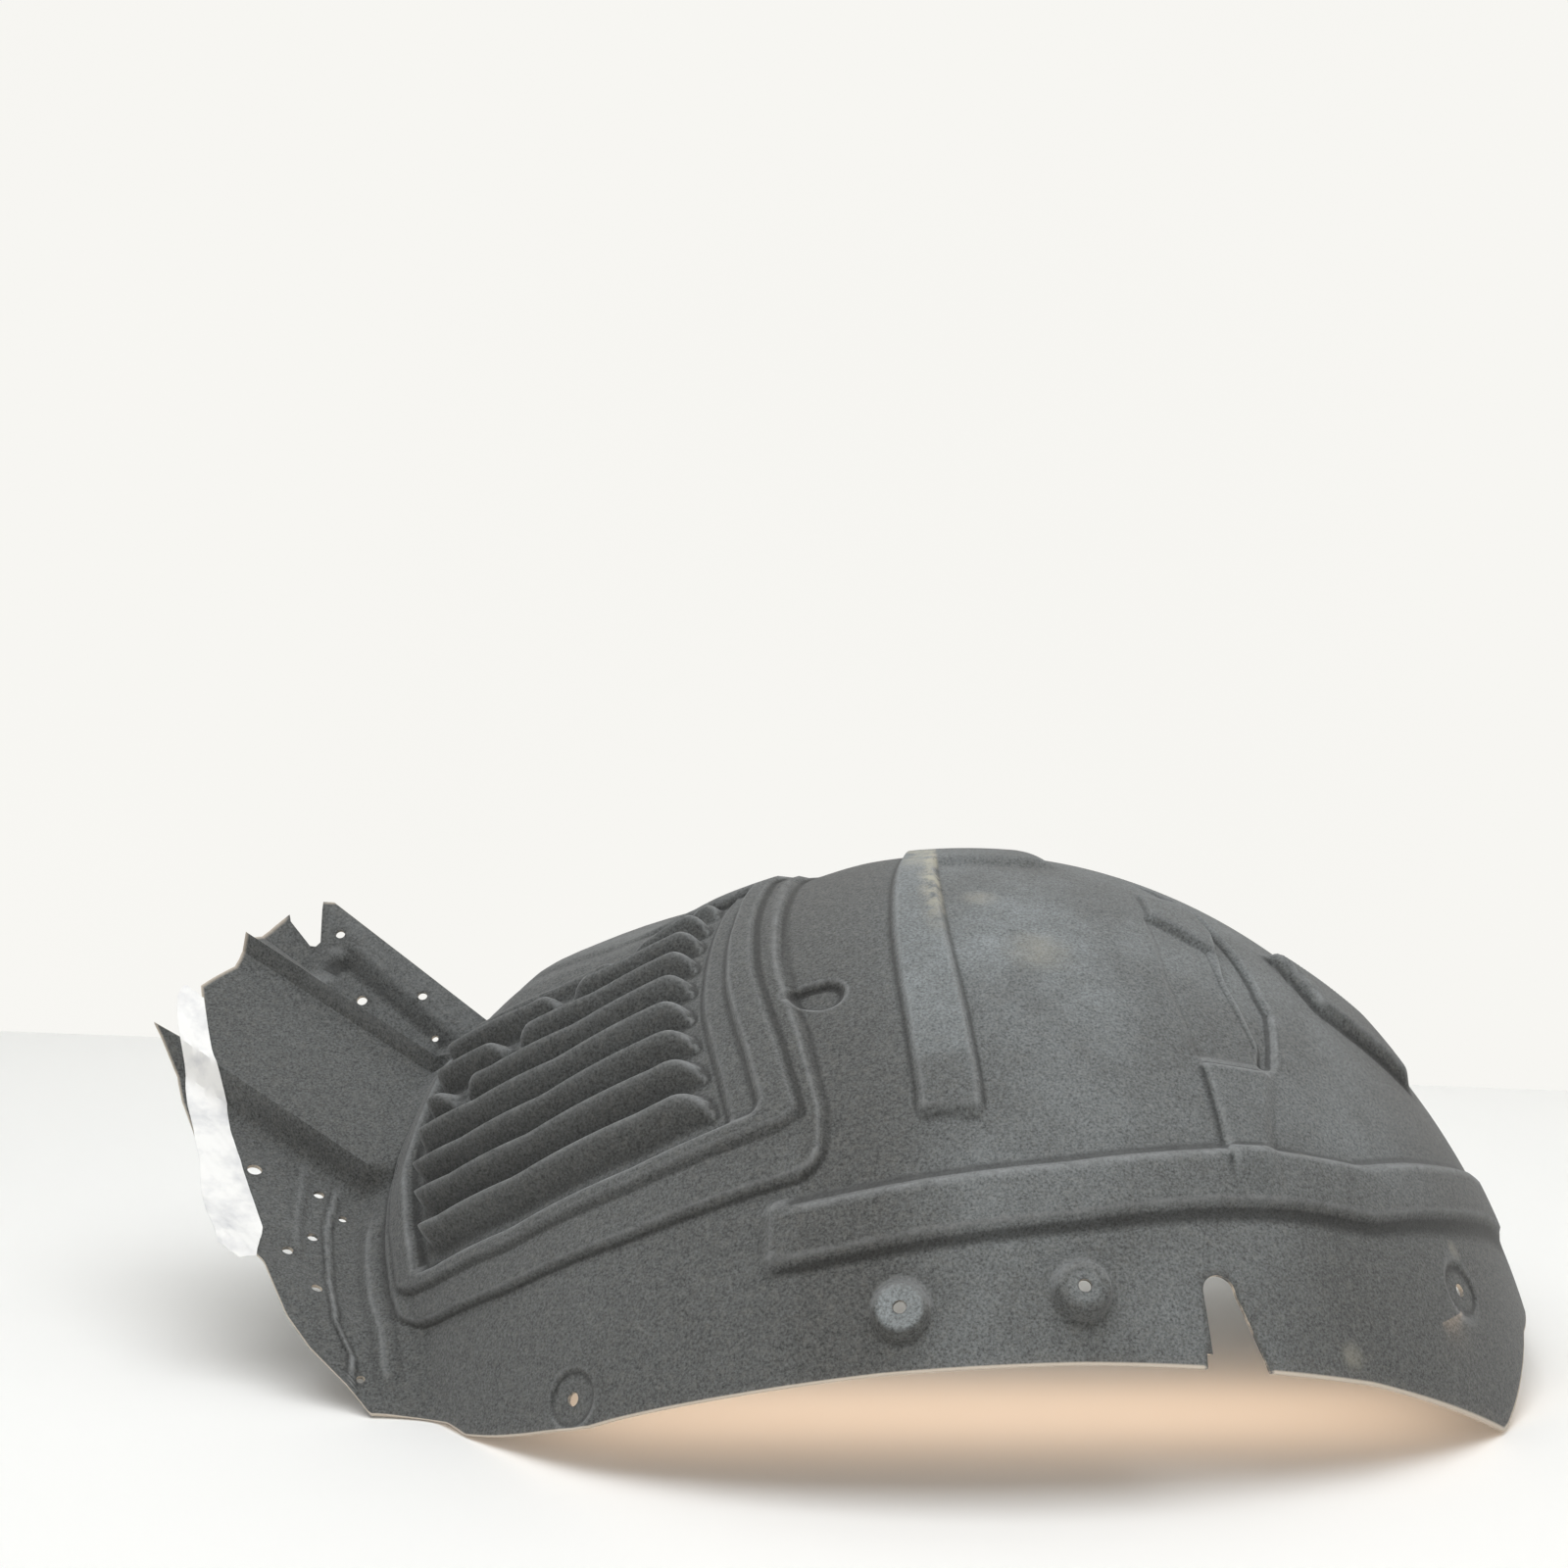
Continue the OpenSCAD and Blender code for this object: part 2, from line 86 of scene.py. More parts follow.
LABEL_INNER = [(10, 84), (13, 70), (19.5, 60), (27.75, 77), (36, 94), (39.25, 107), (48, 136)]

# By column
WALL_LEAN = [(-17.3, 1), (-6.6, 0.42), (-1, 0.35), (8, 0.2), (19, 0)]
POCKET_SWING_BY_COLUMN = [(8, 0), (19, 1), (33, 1), (62, 0)]

# By height angle: columns of the pocket's edges
GROOVE_IN = [(27.7, 29.3), (31, 30.7), (40, 31), (44, 32), (47, 33.2), (52, 32.8), (60, 27)]
GROOVE_OUT = [(27.7, 31.6), (31.7, 33.9), (35.8, 36.2), (40, 36.8), (48.5, 36.7), (53.5, 36.2), (60, 31)]
LEG_RIGHT = [(17.2, 27.2), (21.8, 28.3), (27.7, 30.8)]

# Lines of the blank: its top row, the angle that its rows turn about, the panel's right edge,
# degrees in one unit of X on the wall, its right end, and the angle that the root takes
ROW_TOP = 75.0
ROW_PIVOT = -32
PANEL_RIGHT = -17.3
WALL_UNIT = 10.0
WALL_COLUMN = 14.23
ROOT_ARC = 4.5

# About how many mm one unit of the blank's X is on each part, and one row
PANEL_WIDTH = 290.0
ROOT_WIDTH = 40.0
WALL_WIDTH = 65.0
ROW_HEIGHT = 7.2

# Louvres: rows on the panel, and shares of its width and of their pitch
LOUVRE_START = 19.0
LOUVRE_PITCH = 4.5
LOUVRES = 8
LOUVRE_TOP = LOUVRE_START + LOUVRE_PITCH * (LOUVRES + 1)
LOUVRE_END = 0.76
END_ROUNDING = 0.066
FLANK_START = 0.38
LAST_LOUVRE_HEIGHT = 0.6
FIRST_WEB_LOUVRE = 4
WEB_START = 0.19
WEB_STEP = 0.127
WEB_WIDTH = 0.07

# Plates of the panel: sides, end rows, corner radius and softness of the edge in mm
STEP_PLATE = ((-0.05, 1.035), (13.1, LOUVRE_TOP + 5), 16, 6)
RIDGE_PLATE = ((-0.026, 0.99), (17.4, LOUVRE_TOP + 4), 12, 7)
INNER_FLOOR = ((0.04, 0.857), (LOUVRE_START + 0.3, LOUVRE_TOP + 1.5), 8, 6)
OUTER_FLOOR = ((0.04, 0.922), (LOUVRE_START + 0.3, LOUVRE_TOP + 1.5), 9, 7)

# Edges of the wall's forms for bump(): start and full height, then fall and end
BAND_EDGES, BAND_ENDS = (8.15, 9.2, 13.1, 14.0), (-21.1, -19.9, 68, 74)
PAD_SIDES, PAD_ENDS = (-7.2, -6.2, -1.5, -0.5), (20.7, 21.9, 68, 70)
ARM_SIDES, ARM_ENDS = (-13, -11, 15, 18), (60, 61.6, 68, 70)
BLOCK_SIDES, BLOCK_ENDS = (45.8, 47, 59, 62), (38, 39.6, 46, 47.9)
FIELD_SIDES, FIELD_BOTTOM = (21.6, 22.6, 30.2, 31), (27.8, 28.8)
GROOVE_TOP = (56, 61)
STRIP_START, STRIP_TOP = (22.6, 23.5), (53, 56)
LEG_START, LEG_ENDS = (22, 22.8), (14.8, 18.6, 27, 27.8)
BLOCK_START = 45.7
BLOCK_SLANT = 0.41
SHOULDER_END = (-62, -26)
PANEL_FADE_ROWS, PANEL_FADE = (50, 58), 0.85

# Frame at the root: where it starts on the root, and the root's share of the panel's width
FRAME_FROM = 0.2
ROOT_SHARE = 0.1

# Beads and fields of the flange: heights and widths in mm, with the rows or distances they span
ROOT_BEAD, ROOT_BEAD_AT, ROOT_BEAD_WIDTH, ROOT_BEAD_ROWS = 3, 0.22, 0.09, (3, 7, 26, 34)
LOW_BEAD, LOW_BEAD_AT, LOW_BEAD_WIDTH, LOW_BEAD_ROWS = 1.8, 37.5, 3.2, (19.2, 21, 33.5, 35.4)
FOLD, FOLD_WIDTH, FOLD_ROWS = 2.2, 2, (1, 4, 33, 36)
REAR_FIELD, REAR_FIELD_SPAN, REAR_FIELD_ROWS = 5, (8, 18, 89, 93), (57, 58.6, 60.5, 61)

# Keyhole dimple: mm for a degree across and up, pit radius, tail's taper and length
DIMPLE_ACROSS, DIMPLE_UP = 5.3, 7.1
DIMPLE_RADIUS, DIMPLE_TAPER, DIMPLE_STRETCH = 14, 0.2, 0.36

# Directions on the flange: square to its face, square to its screw holes, and out along it
FLANGE_NORMAL = (0.03, 0.95, 0.3)
LOWER_HOLE_NORMAL = (0.275, 0.748, 0.604)
REAR_HOLE_NORMAL = (-0.03, 0.985, 0.17)
FLANGE_RUN = (-1, -0.19, 0.71)
REAR_LIFT = 0.25

# Rows over which the flange steps up to its broad face, and the row of the ridge behind it
BROAD_FACE = (36, 38.4)
REAR_RIDGE = 56.6

# Places on the wall as (f, a): bosses with their height and lip holes, slot and dimple
BOSSES = [(-8.4, 4.5, 7.0), (7.0, 5.9, 11.0)]
LIP_HOLES = [(-40.0, 0.4), (50.5, 10.9)]
SLOT = (21.0, 4.0)
DIMPLE = (-18.2, 35.2)

# Places on the flange as (row, distance from the root, bore)
FLANGE_HOLES = [(28.25, 68, 9.6), (32, 26, 7.04), (23.5, 27, 7.04), (19, 44, 7.04),
                (15.25, 28, 7.04), (30.25, 9, 5.76), (4.2, 5, 5.12), (61, 96, 6.4),
                (61.4, 40, 6.4), (59.3, 67, 7.04), (60.25, 21, 4.48)]
REAR_HOLES_FROM = 56
NOTCH = (59.75, 107)

# Outlines of the shaped openings, in mm from their places
NOTCH_OUTLINE = [(-19, 40), (-15, 20), (0, 0), (4, -0.6), (7, 2.6), (6.3, 29), (7, 45)]
SLOT_TOP = (-9.5, 29)
SLOT_BARB = [(-20, -45), (26, -40), (19, -24)]
SLOT_STEP = [(-16.5, -17), (-20, -17)]
TOOL_LENGTH = 0.06

# Worn places on the wall: angle round the axis, height angle, radius in mm
WORN_SPOTS = [(6.9, 40.4, 28), (0.5, 50, 16), (32.8, 2.8, 12), (50.9, 14.4, 9), (31.2, 19, 7),
              (35.1, 15.1, 6)]

# Label: rows and columns of its mesh, its first row and length on the flange, and its crumple
LABEL_ROWS = 44
LABEL_COLUMNS = 14
LABEL_START = 10.6
LABEL_LENGTH = 36
CRUMPLE = 0.0012

# Camera of the photograph, and the pixels at which the far edge of its floor leaves it
PHOTO_SIZE = 1600
LENS = 78.75
SENSOR = 36
CAMERA_PLACE = (-0.02819, -2.08756, 0.61826)
CAMERA_TILT = math.radians(83.13)
FLOOR_EDGE = ((0, 1052), (1600, 1113))

# Boards: name, size, place against the far edge of the floor, tilt, colour, whether it is the back
BOARDS = [("floor_board", (12, 8), (0, -4, -0.0002), 0, "floor", False),
          ("back_board", (14, 6), (0, 0.02, 2.6), math.radians(90), "backdrop", True)]

# Lamps: name, place, aim, size in metres, power in watts, tint. The last one stands for the warm
# light that the floor throws up under the arch
LAMPS = [("overhead", (-0.1, -0.5, 2.3), (-0.1, -0.1, 0.1), (2.8, 2.0), 43, (0.96, 0.98, 1)),
         ("warm_front", (0.2, -1.7, 0.6), (0, 0, 0), (0.9, 0.9), 4, (1, 0.84, 0.68)),
         ("under_arch", (0.1, -0.095, 0.07), (0.1, -0.095, 0), (0.54, 0.11), 0.24, (1, 0.71, 0.49))]
SKY_STRENGTH = 0.4


def curve(points, at):
    """Value of a control curve at each place."""
    places, values = zip(*points)
    return np.interp(at, places, values)


def ease(start, end, x):
    """Soft step from 0 to 1."""
    t = np.clip((x - start) / (end - start), 0, 1)
    return t * t * (3 - 2 * t)


def bump(start, full, fall, end, x):
    """Soft plateau between two edges."""
    return ease(start, full, x) * (1 - ease(fall, end, x))


def unit(v):
    """Vector of length 1."""
    return v / np.linalg.norm(v, axis=-1, keepdims=True)


def sizes():
    """Sizes that the user has set, in metres."""
    return bpy.context.scene.liner_sizes


def stand(q):
    """Moves arch coordinates (across, outward, inboard, in mm) to the resting pose, in metres."""
    s = sizes()
    cl, sl = math.cos(s.axis_lean), math.sin(s.axis_lean)
    axis = np.array(s.axis_place)
    return axis + MM * np.stack([q[..., 0], -q[..., 1] * cl + q[..., 2] * sl,
                                 q[..., 1] * sl + q[..., 2] * cl], -1)


def stand_direction(v):
    """Turns a direction of the arch to the resting pose."""
    v = np.array(v, float)
    return unit(stand(v) - stand(np.zeros(3)))


def section(f, a):
    """Smooth arch: angle round the axis and height angle to arch coordinates."""
    s = sizes()
    n = 2 / curve(SECTION_POWER, f)
    a = np.radians(a)
    f_rad = np.radians(f)
    r = s.arch_radius / MM * curve(ARCH_SWELL, f) * np.abs(np.cos(a)) ** n
    h = s.arch_depth / MM * np.sign(a) * np.abs(np.sin(a)) ** n
    return np.stack([r * np.sin(f_rad), r * np.cos(f_rad), h], -1)


def outward(f, a):
    """Direction square to the smooth arch, away from the wheel."""
    return unit(np.cross(section(f, a + 0.5) - section(f, a - 0.5),
                         section(f + 0.5, a) - section(f - 0.5, a)))


def radial(f):
    """Direction from the axis to the arch."""
    f_rad = np.radians(f)
    return np.stack([np.sin(f_rad), np.cos(f_rad), 0 * f], -1)


def spot_on_arch(place):
    """Arch coordinates of a place that starts with its two angles."""
    return section(np.float64(place[0]), np.float64(place[1]))


def row_angle(m, f):
    """Height angle of a row of the blank at angle f."""
    lip = curve(LIP_ANGLE, f)
    a = (m + curve(ROW_SLOPE, m) * (np.minimum(f, PANEL_RIGHT) - ROW_PIVOT)
         + curve(BAND_RISE, f) * curve(BAND_RISE_BY_ROW, m))
    a = np.maximum(a + lip * np.clip(1 - m / 6, 0, 1), lip + 0.4 * m)
    return np.where(m >= ROW_TOP, ROW_TOP, np.where(m <= 0, lip, a))


def column(x):
    """Column of the wall at a place along the blank."""
    return PANEL_RIGHT + (x - 2) * WALL_UNIT


# Louvre panel

def louvre_relief(t, m):
    """Louvres as scoops: the crest sinks to the floor at the right end and at each web, so that
    every flank is a long lens. A web breaks the upper louvres, one pitch further each."""
    x = (m - LOUVRE_START) / LOUVRE_PITCH
    relief = np.zeros_like(t)
    for row in (np.floor(x), np.floor(x) - 1):
        p = x - row
        web = WEB_START + WEB_STEP * (row - FIRST_WEB_LOUVRE)
        at_end = np.clip((t - LOUVRE_END) / END_ROUNDING, 0, 1)
        at_web = np.where(row >= FIRST_WEB_LOUVRE, np.clip(1.3 - 1.3 * np.abs(t - web) / WEB_WIDTH, 0, 1), 0)
        height = np.sqrt(1 - at_end ** 2) * np.sqrt(1 - at_web ** 2)
        crest = 1 - 0.55 * (1 - height)
        flank = ease(FLANK_START, crest, p) * (1 - ease(crest, crest + FLANK_START, p))
        scoop = height * flank * np.where(row == LOUVRES, LAST_LOUVRE_HEIGHT, 1)
        there = (row >= 0) & (row <= LOUVRES) & ~((row == LOUVRES) & (t < web))
        relief = np.maximum(relief, np.where(there, scoop, 0))
    return relief * ease(0.075, 0.1, t)


def plate(t, m, sides, ends, radius, soft):
    """1 inside a plate with rounded corners, 0 outside, with a soft edge (radius and soft in mm)."""
    dx = np.minimum(t - sides[0], sides[1] - t) * PANEL_WIDTH
    dy = np.minimum(m - ends[0], ends[1] - m) * ROW_HEIGHT
    qx, qy = radius - dx, radius - dy
    inside = radius - np.hypot(np.maximum(qx, 0), np.maximum(qy, 0)) - np.minimum(np.maximum(qx, qy), 0)
    return ease(-soft / 2, soft / 2, inside)


def panel_relief(t, m):
    """Stepped frame and louvres; t is 0 at the left edge of the panel and 1 at its right.
    The upper left part of the frame flattens out towards the shoulder."""
    s = sizes()
    step, ridge = s.frame_step / MM, s.frame_ridge / MM
    relief = step * plate(t, m, *STEP_PLATE) + (ridge - step) * plate(t, m, *RIDGE_PLATE)
    relief -= ridge * (0.4 * plate(t, m, *INNER_FLOOR) + 0.6 * plate(t, m, *OUTER_FLOOR))
    relief += s.louvre / MM * louvre_relief(t, m)
    return relief * (1 - PANEL_FADE * ease(*PANEL_FADE_ROWS, m) * (1 - ease(0.45, 0.8, t)))


# Rest of the wall

def band_relief(f, a):
    """Long band that climbs over the lip towards its right end."""
    return sizes().band / MM * bump(*BAND_EDGES, a - curve(BAND_RISE, f)) * bump(*BAND_ENDS, f)


def pad_relief(c, f, a):
    """Upright pad and the arm across its top."""
    upright = bump(*PAD_SIDES, c) * bump(*PAD_ENDS, a)
    arm = bump(*ARM_SIDES, f) * bump(*ARM_ENDS, a)
    return sizes().pad / MM * np.maximum(upright, arm)


def dimple_relief(f, a):
    """Keyhole dimple: a round pit with a tail that narrows to its left."""
    x, y = (f - DIMPLE[0]) * DIMPLE_ACROSS, (a - DIMPLE[1]) * DIMPLE_UP
    width = np.maximum(DIMPLE_RADIUS + DIMPLE_TAPER * np.minimum(x, 0), 2)
    d = np.hypot(np.where(x < 0, x * DIMPLE_STRETCH, x), y) / width
    return -sizes().dimple / MM * (1 - ease(0.66, 1.1, d))


def pocket_relief(c, a):
    """Shallow field with a curved groove to its right, a strip over it and a leg under it."""
    s = sizes()
    inner, outer, right = curve(GROOVE_IN, a), curve(GROOVE_OUT, a), curve(LEG_RIGHT, a)
    field_top = 48.7 - 0.58 * (c - 23.3)
    groove = bump(inner - 0.1, inner + 0.8, outer - 0.9, outer, c) * bump(*FIELD_BOTTOM, *GROOVE_TOP, a)
    field = bump(*FIELD_SIDES, c) * bump(*FIELD_BOTTOM, field_top - 0.9, field_top, a)
    leg = bump(*LEG_START, right - 1.6, right + 0.6, c) * bump(*LEG_ENDS, a)
    strip = bump(*STRIP_START, inner - 0.8, inner, c) * bump(field_top - 0.4, field_top + 0.5, *STRIP_TOP, a)
    return (s.leg * leg + s.strip * strip - s.pocket * groove - s.pocket_floor * field) / MM


def wall_relief(c, f, a):
    """Pad, dimple, pocket and the slanting block at the far right."""
    b = a + BLOCK_SLANT * (f - BLOCK_START)
    block = sizes().block / MM * bump(*BLOCK_SIDES, f) * bump(*BLOCK_ENDS, b)
    return pad_relief(c, f, a) + dimple_relief(f, a) + pocket_relief(c, a) + block


def round_relief(f, a):
    """Bosses stand out of the lip wall, and the lip holes have shallow round seats."""
    s = sizes()
    here = section(f, a)
    relief = np.zeros_like(f)
    foot, top, seat = s.boss_foot / MM / 2, s.boss_top / MM / 2, s.seat_width / MM / 2
    for boss in BOSSES:
        d = np.linalg.norm(here - spot_on_arch(boss), axis=-1)
        relief += boss[2] * (1 - ease(top - 0.6, foot + 0.4, d))
    for hole in LIP_HOLES:
        d = np.linalg.norm(here - spot_on_arch(hole), axis=-1)
        relief -= s.seat_depth / MM * (1 - ease(seat - 2, seat + 2, d))
    return relief


# End flange

def flange_direction(m):
    """Direction out along the flange, which lifts at its rear part."""
    across, outwards, up = FLANGE_RUN
    return np.stack([across + 0 * m, outwards + 0 * m, up + REAR_LIFT * ease(REAR_RIDGE, 62, m)], -1)


def flange_step(m):
    """Height of the flange over its lower part: up to the broad face, down behind the ridge."""
    s = sizes()
    broad = np.where(m > REAR_RIDGE, 1 - ease(REAR_RIDGE, 58.8, m), 1 - (m - 38.5) / 18.1 * (m > 38.5))
    return s.flange_rise / MM * ease(*BROAD_FACE, m) * broad - s.flange_drop / MM * ease(REAR_RIDGE, 59, m)


def flange_relief(m, p):
    """Stiffening bead and fold line of the lower flange, and the sunk field of the rear one."""
    bead = LOW_BEAD * np.exp(-((p - LOW_BEAD_AT) / LOW_BEAD_WIDTH) ** 2) * bump(*LOW_BEAD_ROWS, m)
    fold = FOLD * np.exp(-((p - curve(FOLD_LINE, m)) / FOLD_WIDTH) ** 2) * bump(*FOLD_ROWS, m)
    field = REAR_FIELD * bump(*REAR_FIELD_SPAN, p) * bump(*REAR_FIELD_ROWS, m)
    return bead + fold - field


def root_bead(x, m):
    """Bead along the root, beside the panel's frame."""
    return ROOT_BEAD * np.exp(-((x - ROOT_BEAD_AT) / ROOT_BEAD_WIDTH) ** 2) * bump(*ROOT_BEAD_ROWS, m)


def press(x, m, depth):
    """Presses places of the flat blank to shape. Returns their points in the resting pose, in
    metres, and the relief in mm that the mould gives them."""
    s = sizes()
    on_flange, on_root, on_panel = x < 0, (x >= 0) & (x < 1), (x >= 1) & (x < 2)
    left = curve(PANEL_LEFT, m)
    right = PANEL_RIGHT - curve(PANEL_SKEW, m)
    t = np.clip(x - 1, 0, 1)
    c = column(x)
    wall_f = (c - curve(PANEL_SKEW, m) * curve(WALL_LEAN, c)
              + curve(POCKET_SWING, m) * curve(POCKET_SWING_BY_COLUMN, c))
    f = np.select([on_flange, on_root, on_panel],
                  [left - ROOT_ARC, left - ROOT_ARC * (1 - x), left + (right - left) * t], wall_f)
    a = row_angle(m, f)
    n = outward(f, a)

    across = np.select([x < 1, on_panel], [-ROOT_SHARE * (1 - x), t], 1 + (c - PANEL_RIGHT) / (right - left))
    relief = np.where(x >= FRAME_FROM, panel_relief(across, m), 0)
    relief += np.where(x >= 2, wall_relief(c, f, a), 0)
    relief += np.where(x >= 1, band_relief(f, a) + round_relief(f, a), 0)
    relief -= curve(SHOULDER_DROP, m) * (1 - ease(*SHOULDER_END, f))
    relief += np.where(on_root, root_bead(x, m), 0)

    flange_n = unit(np.array(FLANGE_NORMAL))
    flare = np.select([on_flange, on_root], [1 + 0 * x, (1 - x) ** 2], 0)
    p = np.clip(-x, 0, 1) * curve(FLANGE_WIDTH, m)
    on_end = np.where(on_flange, flange_relief(m, p), 0)
    q = section(f, a) + relief[..., None] * n
    q += (flare * curve(ROOT_FLARE, m))[..., None] * radial(f)
    q += (flare * flange_step(m) + on_end)[..., None] * flange_n
    q += p[..., None] * flange_direction(m)

    turn = np.select([on_flange, on_root], [1 + 0 * x, 1 - ease(0, 0.55, x)], 0)
    inward = unit(n * (1 - turn)[..., None] + flange_n * turn[..., None])
    return stand(q + (depth * s.thickness / MM)[..., None] * inward), relief + on_end


# Blank: lines along it and up it, closer where the mould has detail

def spaced(stops):
    """Lines between stops, each a (place, spacing up to the next place)."""
    lines = []
    for (start, gap), (end, _) in zip(stops[:-1], stops[1:]):
        count = max(1, round((end - start) / gap))
        lines += [start + (end - start) * i / count for i in range(count)]
    return np.array(lines + [stops[-1][0]])


BLANK_COLUMNS = spaced([(-1, 0.01), (-0.98, 0.05), (-0.4, 0.022), (0, 0.07), (0.5, 0.05), (1, 0.0105),
                        (1.11, 0.024), (1.68, 0.0155), (2, 0.045), (2.3, 0.07), (2.95, 0.025),
                        (3.15, 0.09), (3.52, 0.025), (3.75, 0.07), (4.8, 0.12), (5.6, 0.07),
                        (7.5, 0.12), (8.2, 0.1), (10, 0.18), (11, 0.45), (WALL_COLUMN, 0)])
BLANK_ROWS = spaced([(0, 0.08), (0.16, 0.44), (0.6, 0.65), (7.5, 0.35), (9.6, 0.6), (12.5, 0.3),
                     (14.4, 0.5), (16.4, 0.3), (19, 0.75), (58.7, 0.4), (62.8, 1.3), (ROW_TOP, 0)])


def deselect():
    """Leaves edit mode and deselects every object."""
    if bpy.context.mode != "OBJECT":
        bpy.ops.object.mode_set(mode="OBJECT")
    bpy.ops.object.select_all(action="DESELECT")


def pick(obj):
    """Selects one object and makes it active."""
    deselect()
    obj.select_set(True)
    bpy.context.view_layer.objects.active = obj


def coordinates(mesh):
    """Places of a mesh's vertices, one a row."""
    co = np.empty(len(mesh.vertices) * 3)
    mesh.vertices.foreach_get("co", co)
    return co.reshape(-1, 3)


def refine(blank, zone):
    """Halves the faces whose centres lie in a zone of the flat blank."""
    mesh = blank.data
    centres = np.empty(len(mesh.polygons) * 3)
    mesh.polygons.foreach_get("center", centres)
    centres = centres.reshape(-1, 3)
    bpy.ops.object.mode_set(mode="EDIT")
    bpy.ops.mesh.select_mode(type="FACE")
    bpy.ops.mesh.select_all(action="DESELECT")
    bpy.ops.object.mode_set(mode="OBJECT")
    mesh.polygons.foreach_set("select", zone(centres[:, 0], centres[:, 1]))
    bpy.ops.object.mode_set(mode="EDIT")
    bpy.ops.mesh.subdivide(number_cuts=1)
    bpy.ops.object.mode_set(mode="OBJECT")


def round_distance(x, m, places):
    """Distance in mm of places of the blank from the nearest of some places on the arch."""
    here, _ = press(x, m, 0 * x)
    spots = [stand(spot_on_arch(place)) for place in places]
    return np.min([np.linalg.norm(here - spot, axis=1) for spot in spots], axis=0) / MM


def near_round_forms(x, m):
    """Zone of the bosses, the seats of the lip and the dimple."""
    return round_distance(x, m, BOSSES + LIP_HOLES + [DIMPLE]) < 0.65 * sizes().boss_foot / MM


def slanting_edges(x, m):
    """Zones of the groove, field, strip, leg and block, whose edges cross the lines of the blank."""
    return ((x > 5.85) & (x < 7.5) & (m > 7) & (m < 52)) | ((x > 8.2) & (x < 9.9) & (m > 17) & (m < 44))


def block_edge(x, m):
    """Zone of the lower edge of the block at the far right."""
    f = column(x)
    b = row_angle(m, f) + BLOCK_SLANT * (f - BLOCK_START)
    return (f > BLOCK_START - 1) & (f < 61) & (b > 37.4) & (b < 40.4)


def louvre_rows(x, m):
    """Zone of the louvres."""
    return (x > 1.09) & (x < 1.97) & (m > LOUVRE_START - 0.1) & (m < LOUVRE_TOP + 1)


def make_blank():
    """Flat felt blank with its thickness along Z, cut to the lines of the mould."""
    deselect()
    nx, ny = len(BLANK_COLUMNS), len(BLANK_ROWS)
    bpy.ops.mesh.primitive_grid_add(x_subdivisions=nx - 1, y_subdivisions=ny - 1, size=1)
    blank = bpy.context.object
    co = coordinates(blank.data)
    col = np.rint((co[:, 0] + 0.5) * (nx - 1)).astype(int)
    row = np.rint((co[:, 1] + 0.5) * (ny - 1)).astype(int)
    flat = np.stack([BLANK_COLUMNS[col], BLANK_ROWS[row], 0 * co[:, 0]], -1)
    blank.data.vertices.foreach_set("co", flat.ravel())
    blank.data.update()
    # The round forms are small and need the finest mesh, so they are halved twice
    for zone in (louvre_rows, slanting_edges, block_edge, near_round_forms, near_round_forms):
        refine(blank, zone)
    wall = blank.modifiers.new("felt thickness", "SOLIDIFY")
    wall.thickness = 1
    wall.offset = -1
    wall.use_even_offset = False
    wall.material_offset_rim = 1
    bpy.ops.object.modifier_apply(modifier=wall.name)
    return blank


# Tools for the punched holes and openings

def tool_place(origin, x, z):
    """Matrix of a tool's place, with its length along z."""
    y = np.cross(z, x)
    return Matrix([(x[i], y[i], z[i], origin[i]) for i in range(3)] + [(0, 0, 0, 1)])


def place_on_wall(f, a):
    """Place on the wall with X along the arch, Y up the section and Z outward."""
    f, a = np.float64(f), np.float64(a)
    origin = stand(section(f, a))
    z = unit(stand(section(f, a) + outward(f, a)) - origin)
    x = unit(stand(section(f + 0.5, a)) - stand(section(f - 0.5, a)))
    return tool_place(origin, x, z)


def place_on_flange(m, p):
    """Place on the flange with Z along its screw holes."""
    m = np.float64(m)
    f = curve(PANEL_LEFT, m) - ROOT_ARC
    q = (section(f, row_angle(m, f)) + curve(ROOT_FLARE, m) * radial(f)
         + flange_step(m) * unit(np.array(FLANGE_NORMAL)) + p * flange_direction(m))
    z = stand_direction(LOWER_HOLE_NORMAL if m < REAR_HOLES_FROM else REAR_HOLE_NORMAL)
    return tool_place(stand(q), unit(np.array([1, 0, 0]) - z[0] * z), z)


def punch(diameter, place):
    """Round pin for a screw hole."""
    deselect()
    bpy.ops.mesh.primitive_cylinder_add(vertices=40, radius=diameter / 2, depth=TOOL_LENGTH)
    pin = bpy.context.object
    pin.data.transform(place)
    return pin


def die(outline, place):
    """Prism with a closed outline (mm), for a shaped opening."""
    deselect()
    mesh = bpy.data.meshes.new("die")
    corners = [(MM * x, MM * y, -TOOL_LENGTH / 2) for x, y in outline]
    mesh.from_pydata(corners, [], [list(range(len(outline)))])
    tool = bpy.data.objects.new("die", mesh)
    bpy.context.collection.objects.link(tool)
    pick(tool)
    bpy.ops.object.mode_set(mode="EDIT")
    bpy.ops.mesh.select_all(action="SELECT")
    bpy.ops.mesh.extrude_region_move(TRANSFORM_OT_translate={"value": (0, 0, TOOL_LENGTH)})
    bpy.ops.mesh.select_all(action="SELECT")
    bpy.ops.mesh.normals_make_consistent(inside=False)
    bpy.ops.object.mode_set(mode="OBJECT")
    mesh.transform(place)
    return tool


def slot_outline():
    """Open slot of the lip: round at its top, with a step on its left and a barb on its right."""
    r = sizes().slot / MM / 2
    x, y = SLOT_TOP[0], SLOT_TOP[1] - r
    arc = [(x + r * math.cos(math.radians(k)), y + r * math.sin(math.radians(k))) for k in range(0, 181, 9)]
    return SLOT_BARB + arc + SLOT_STEP


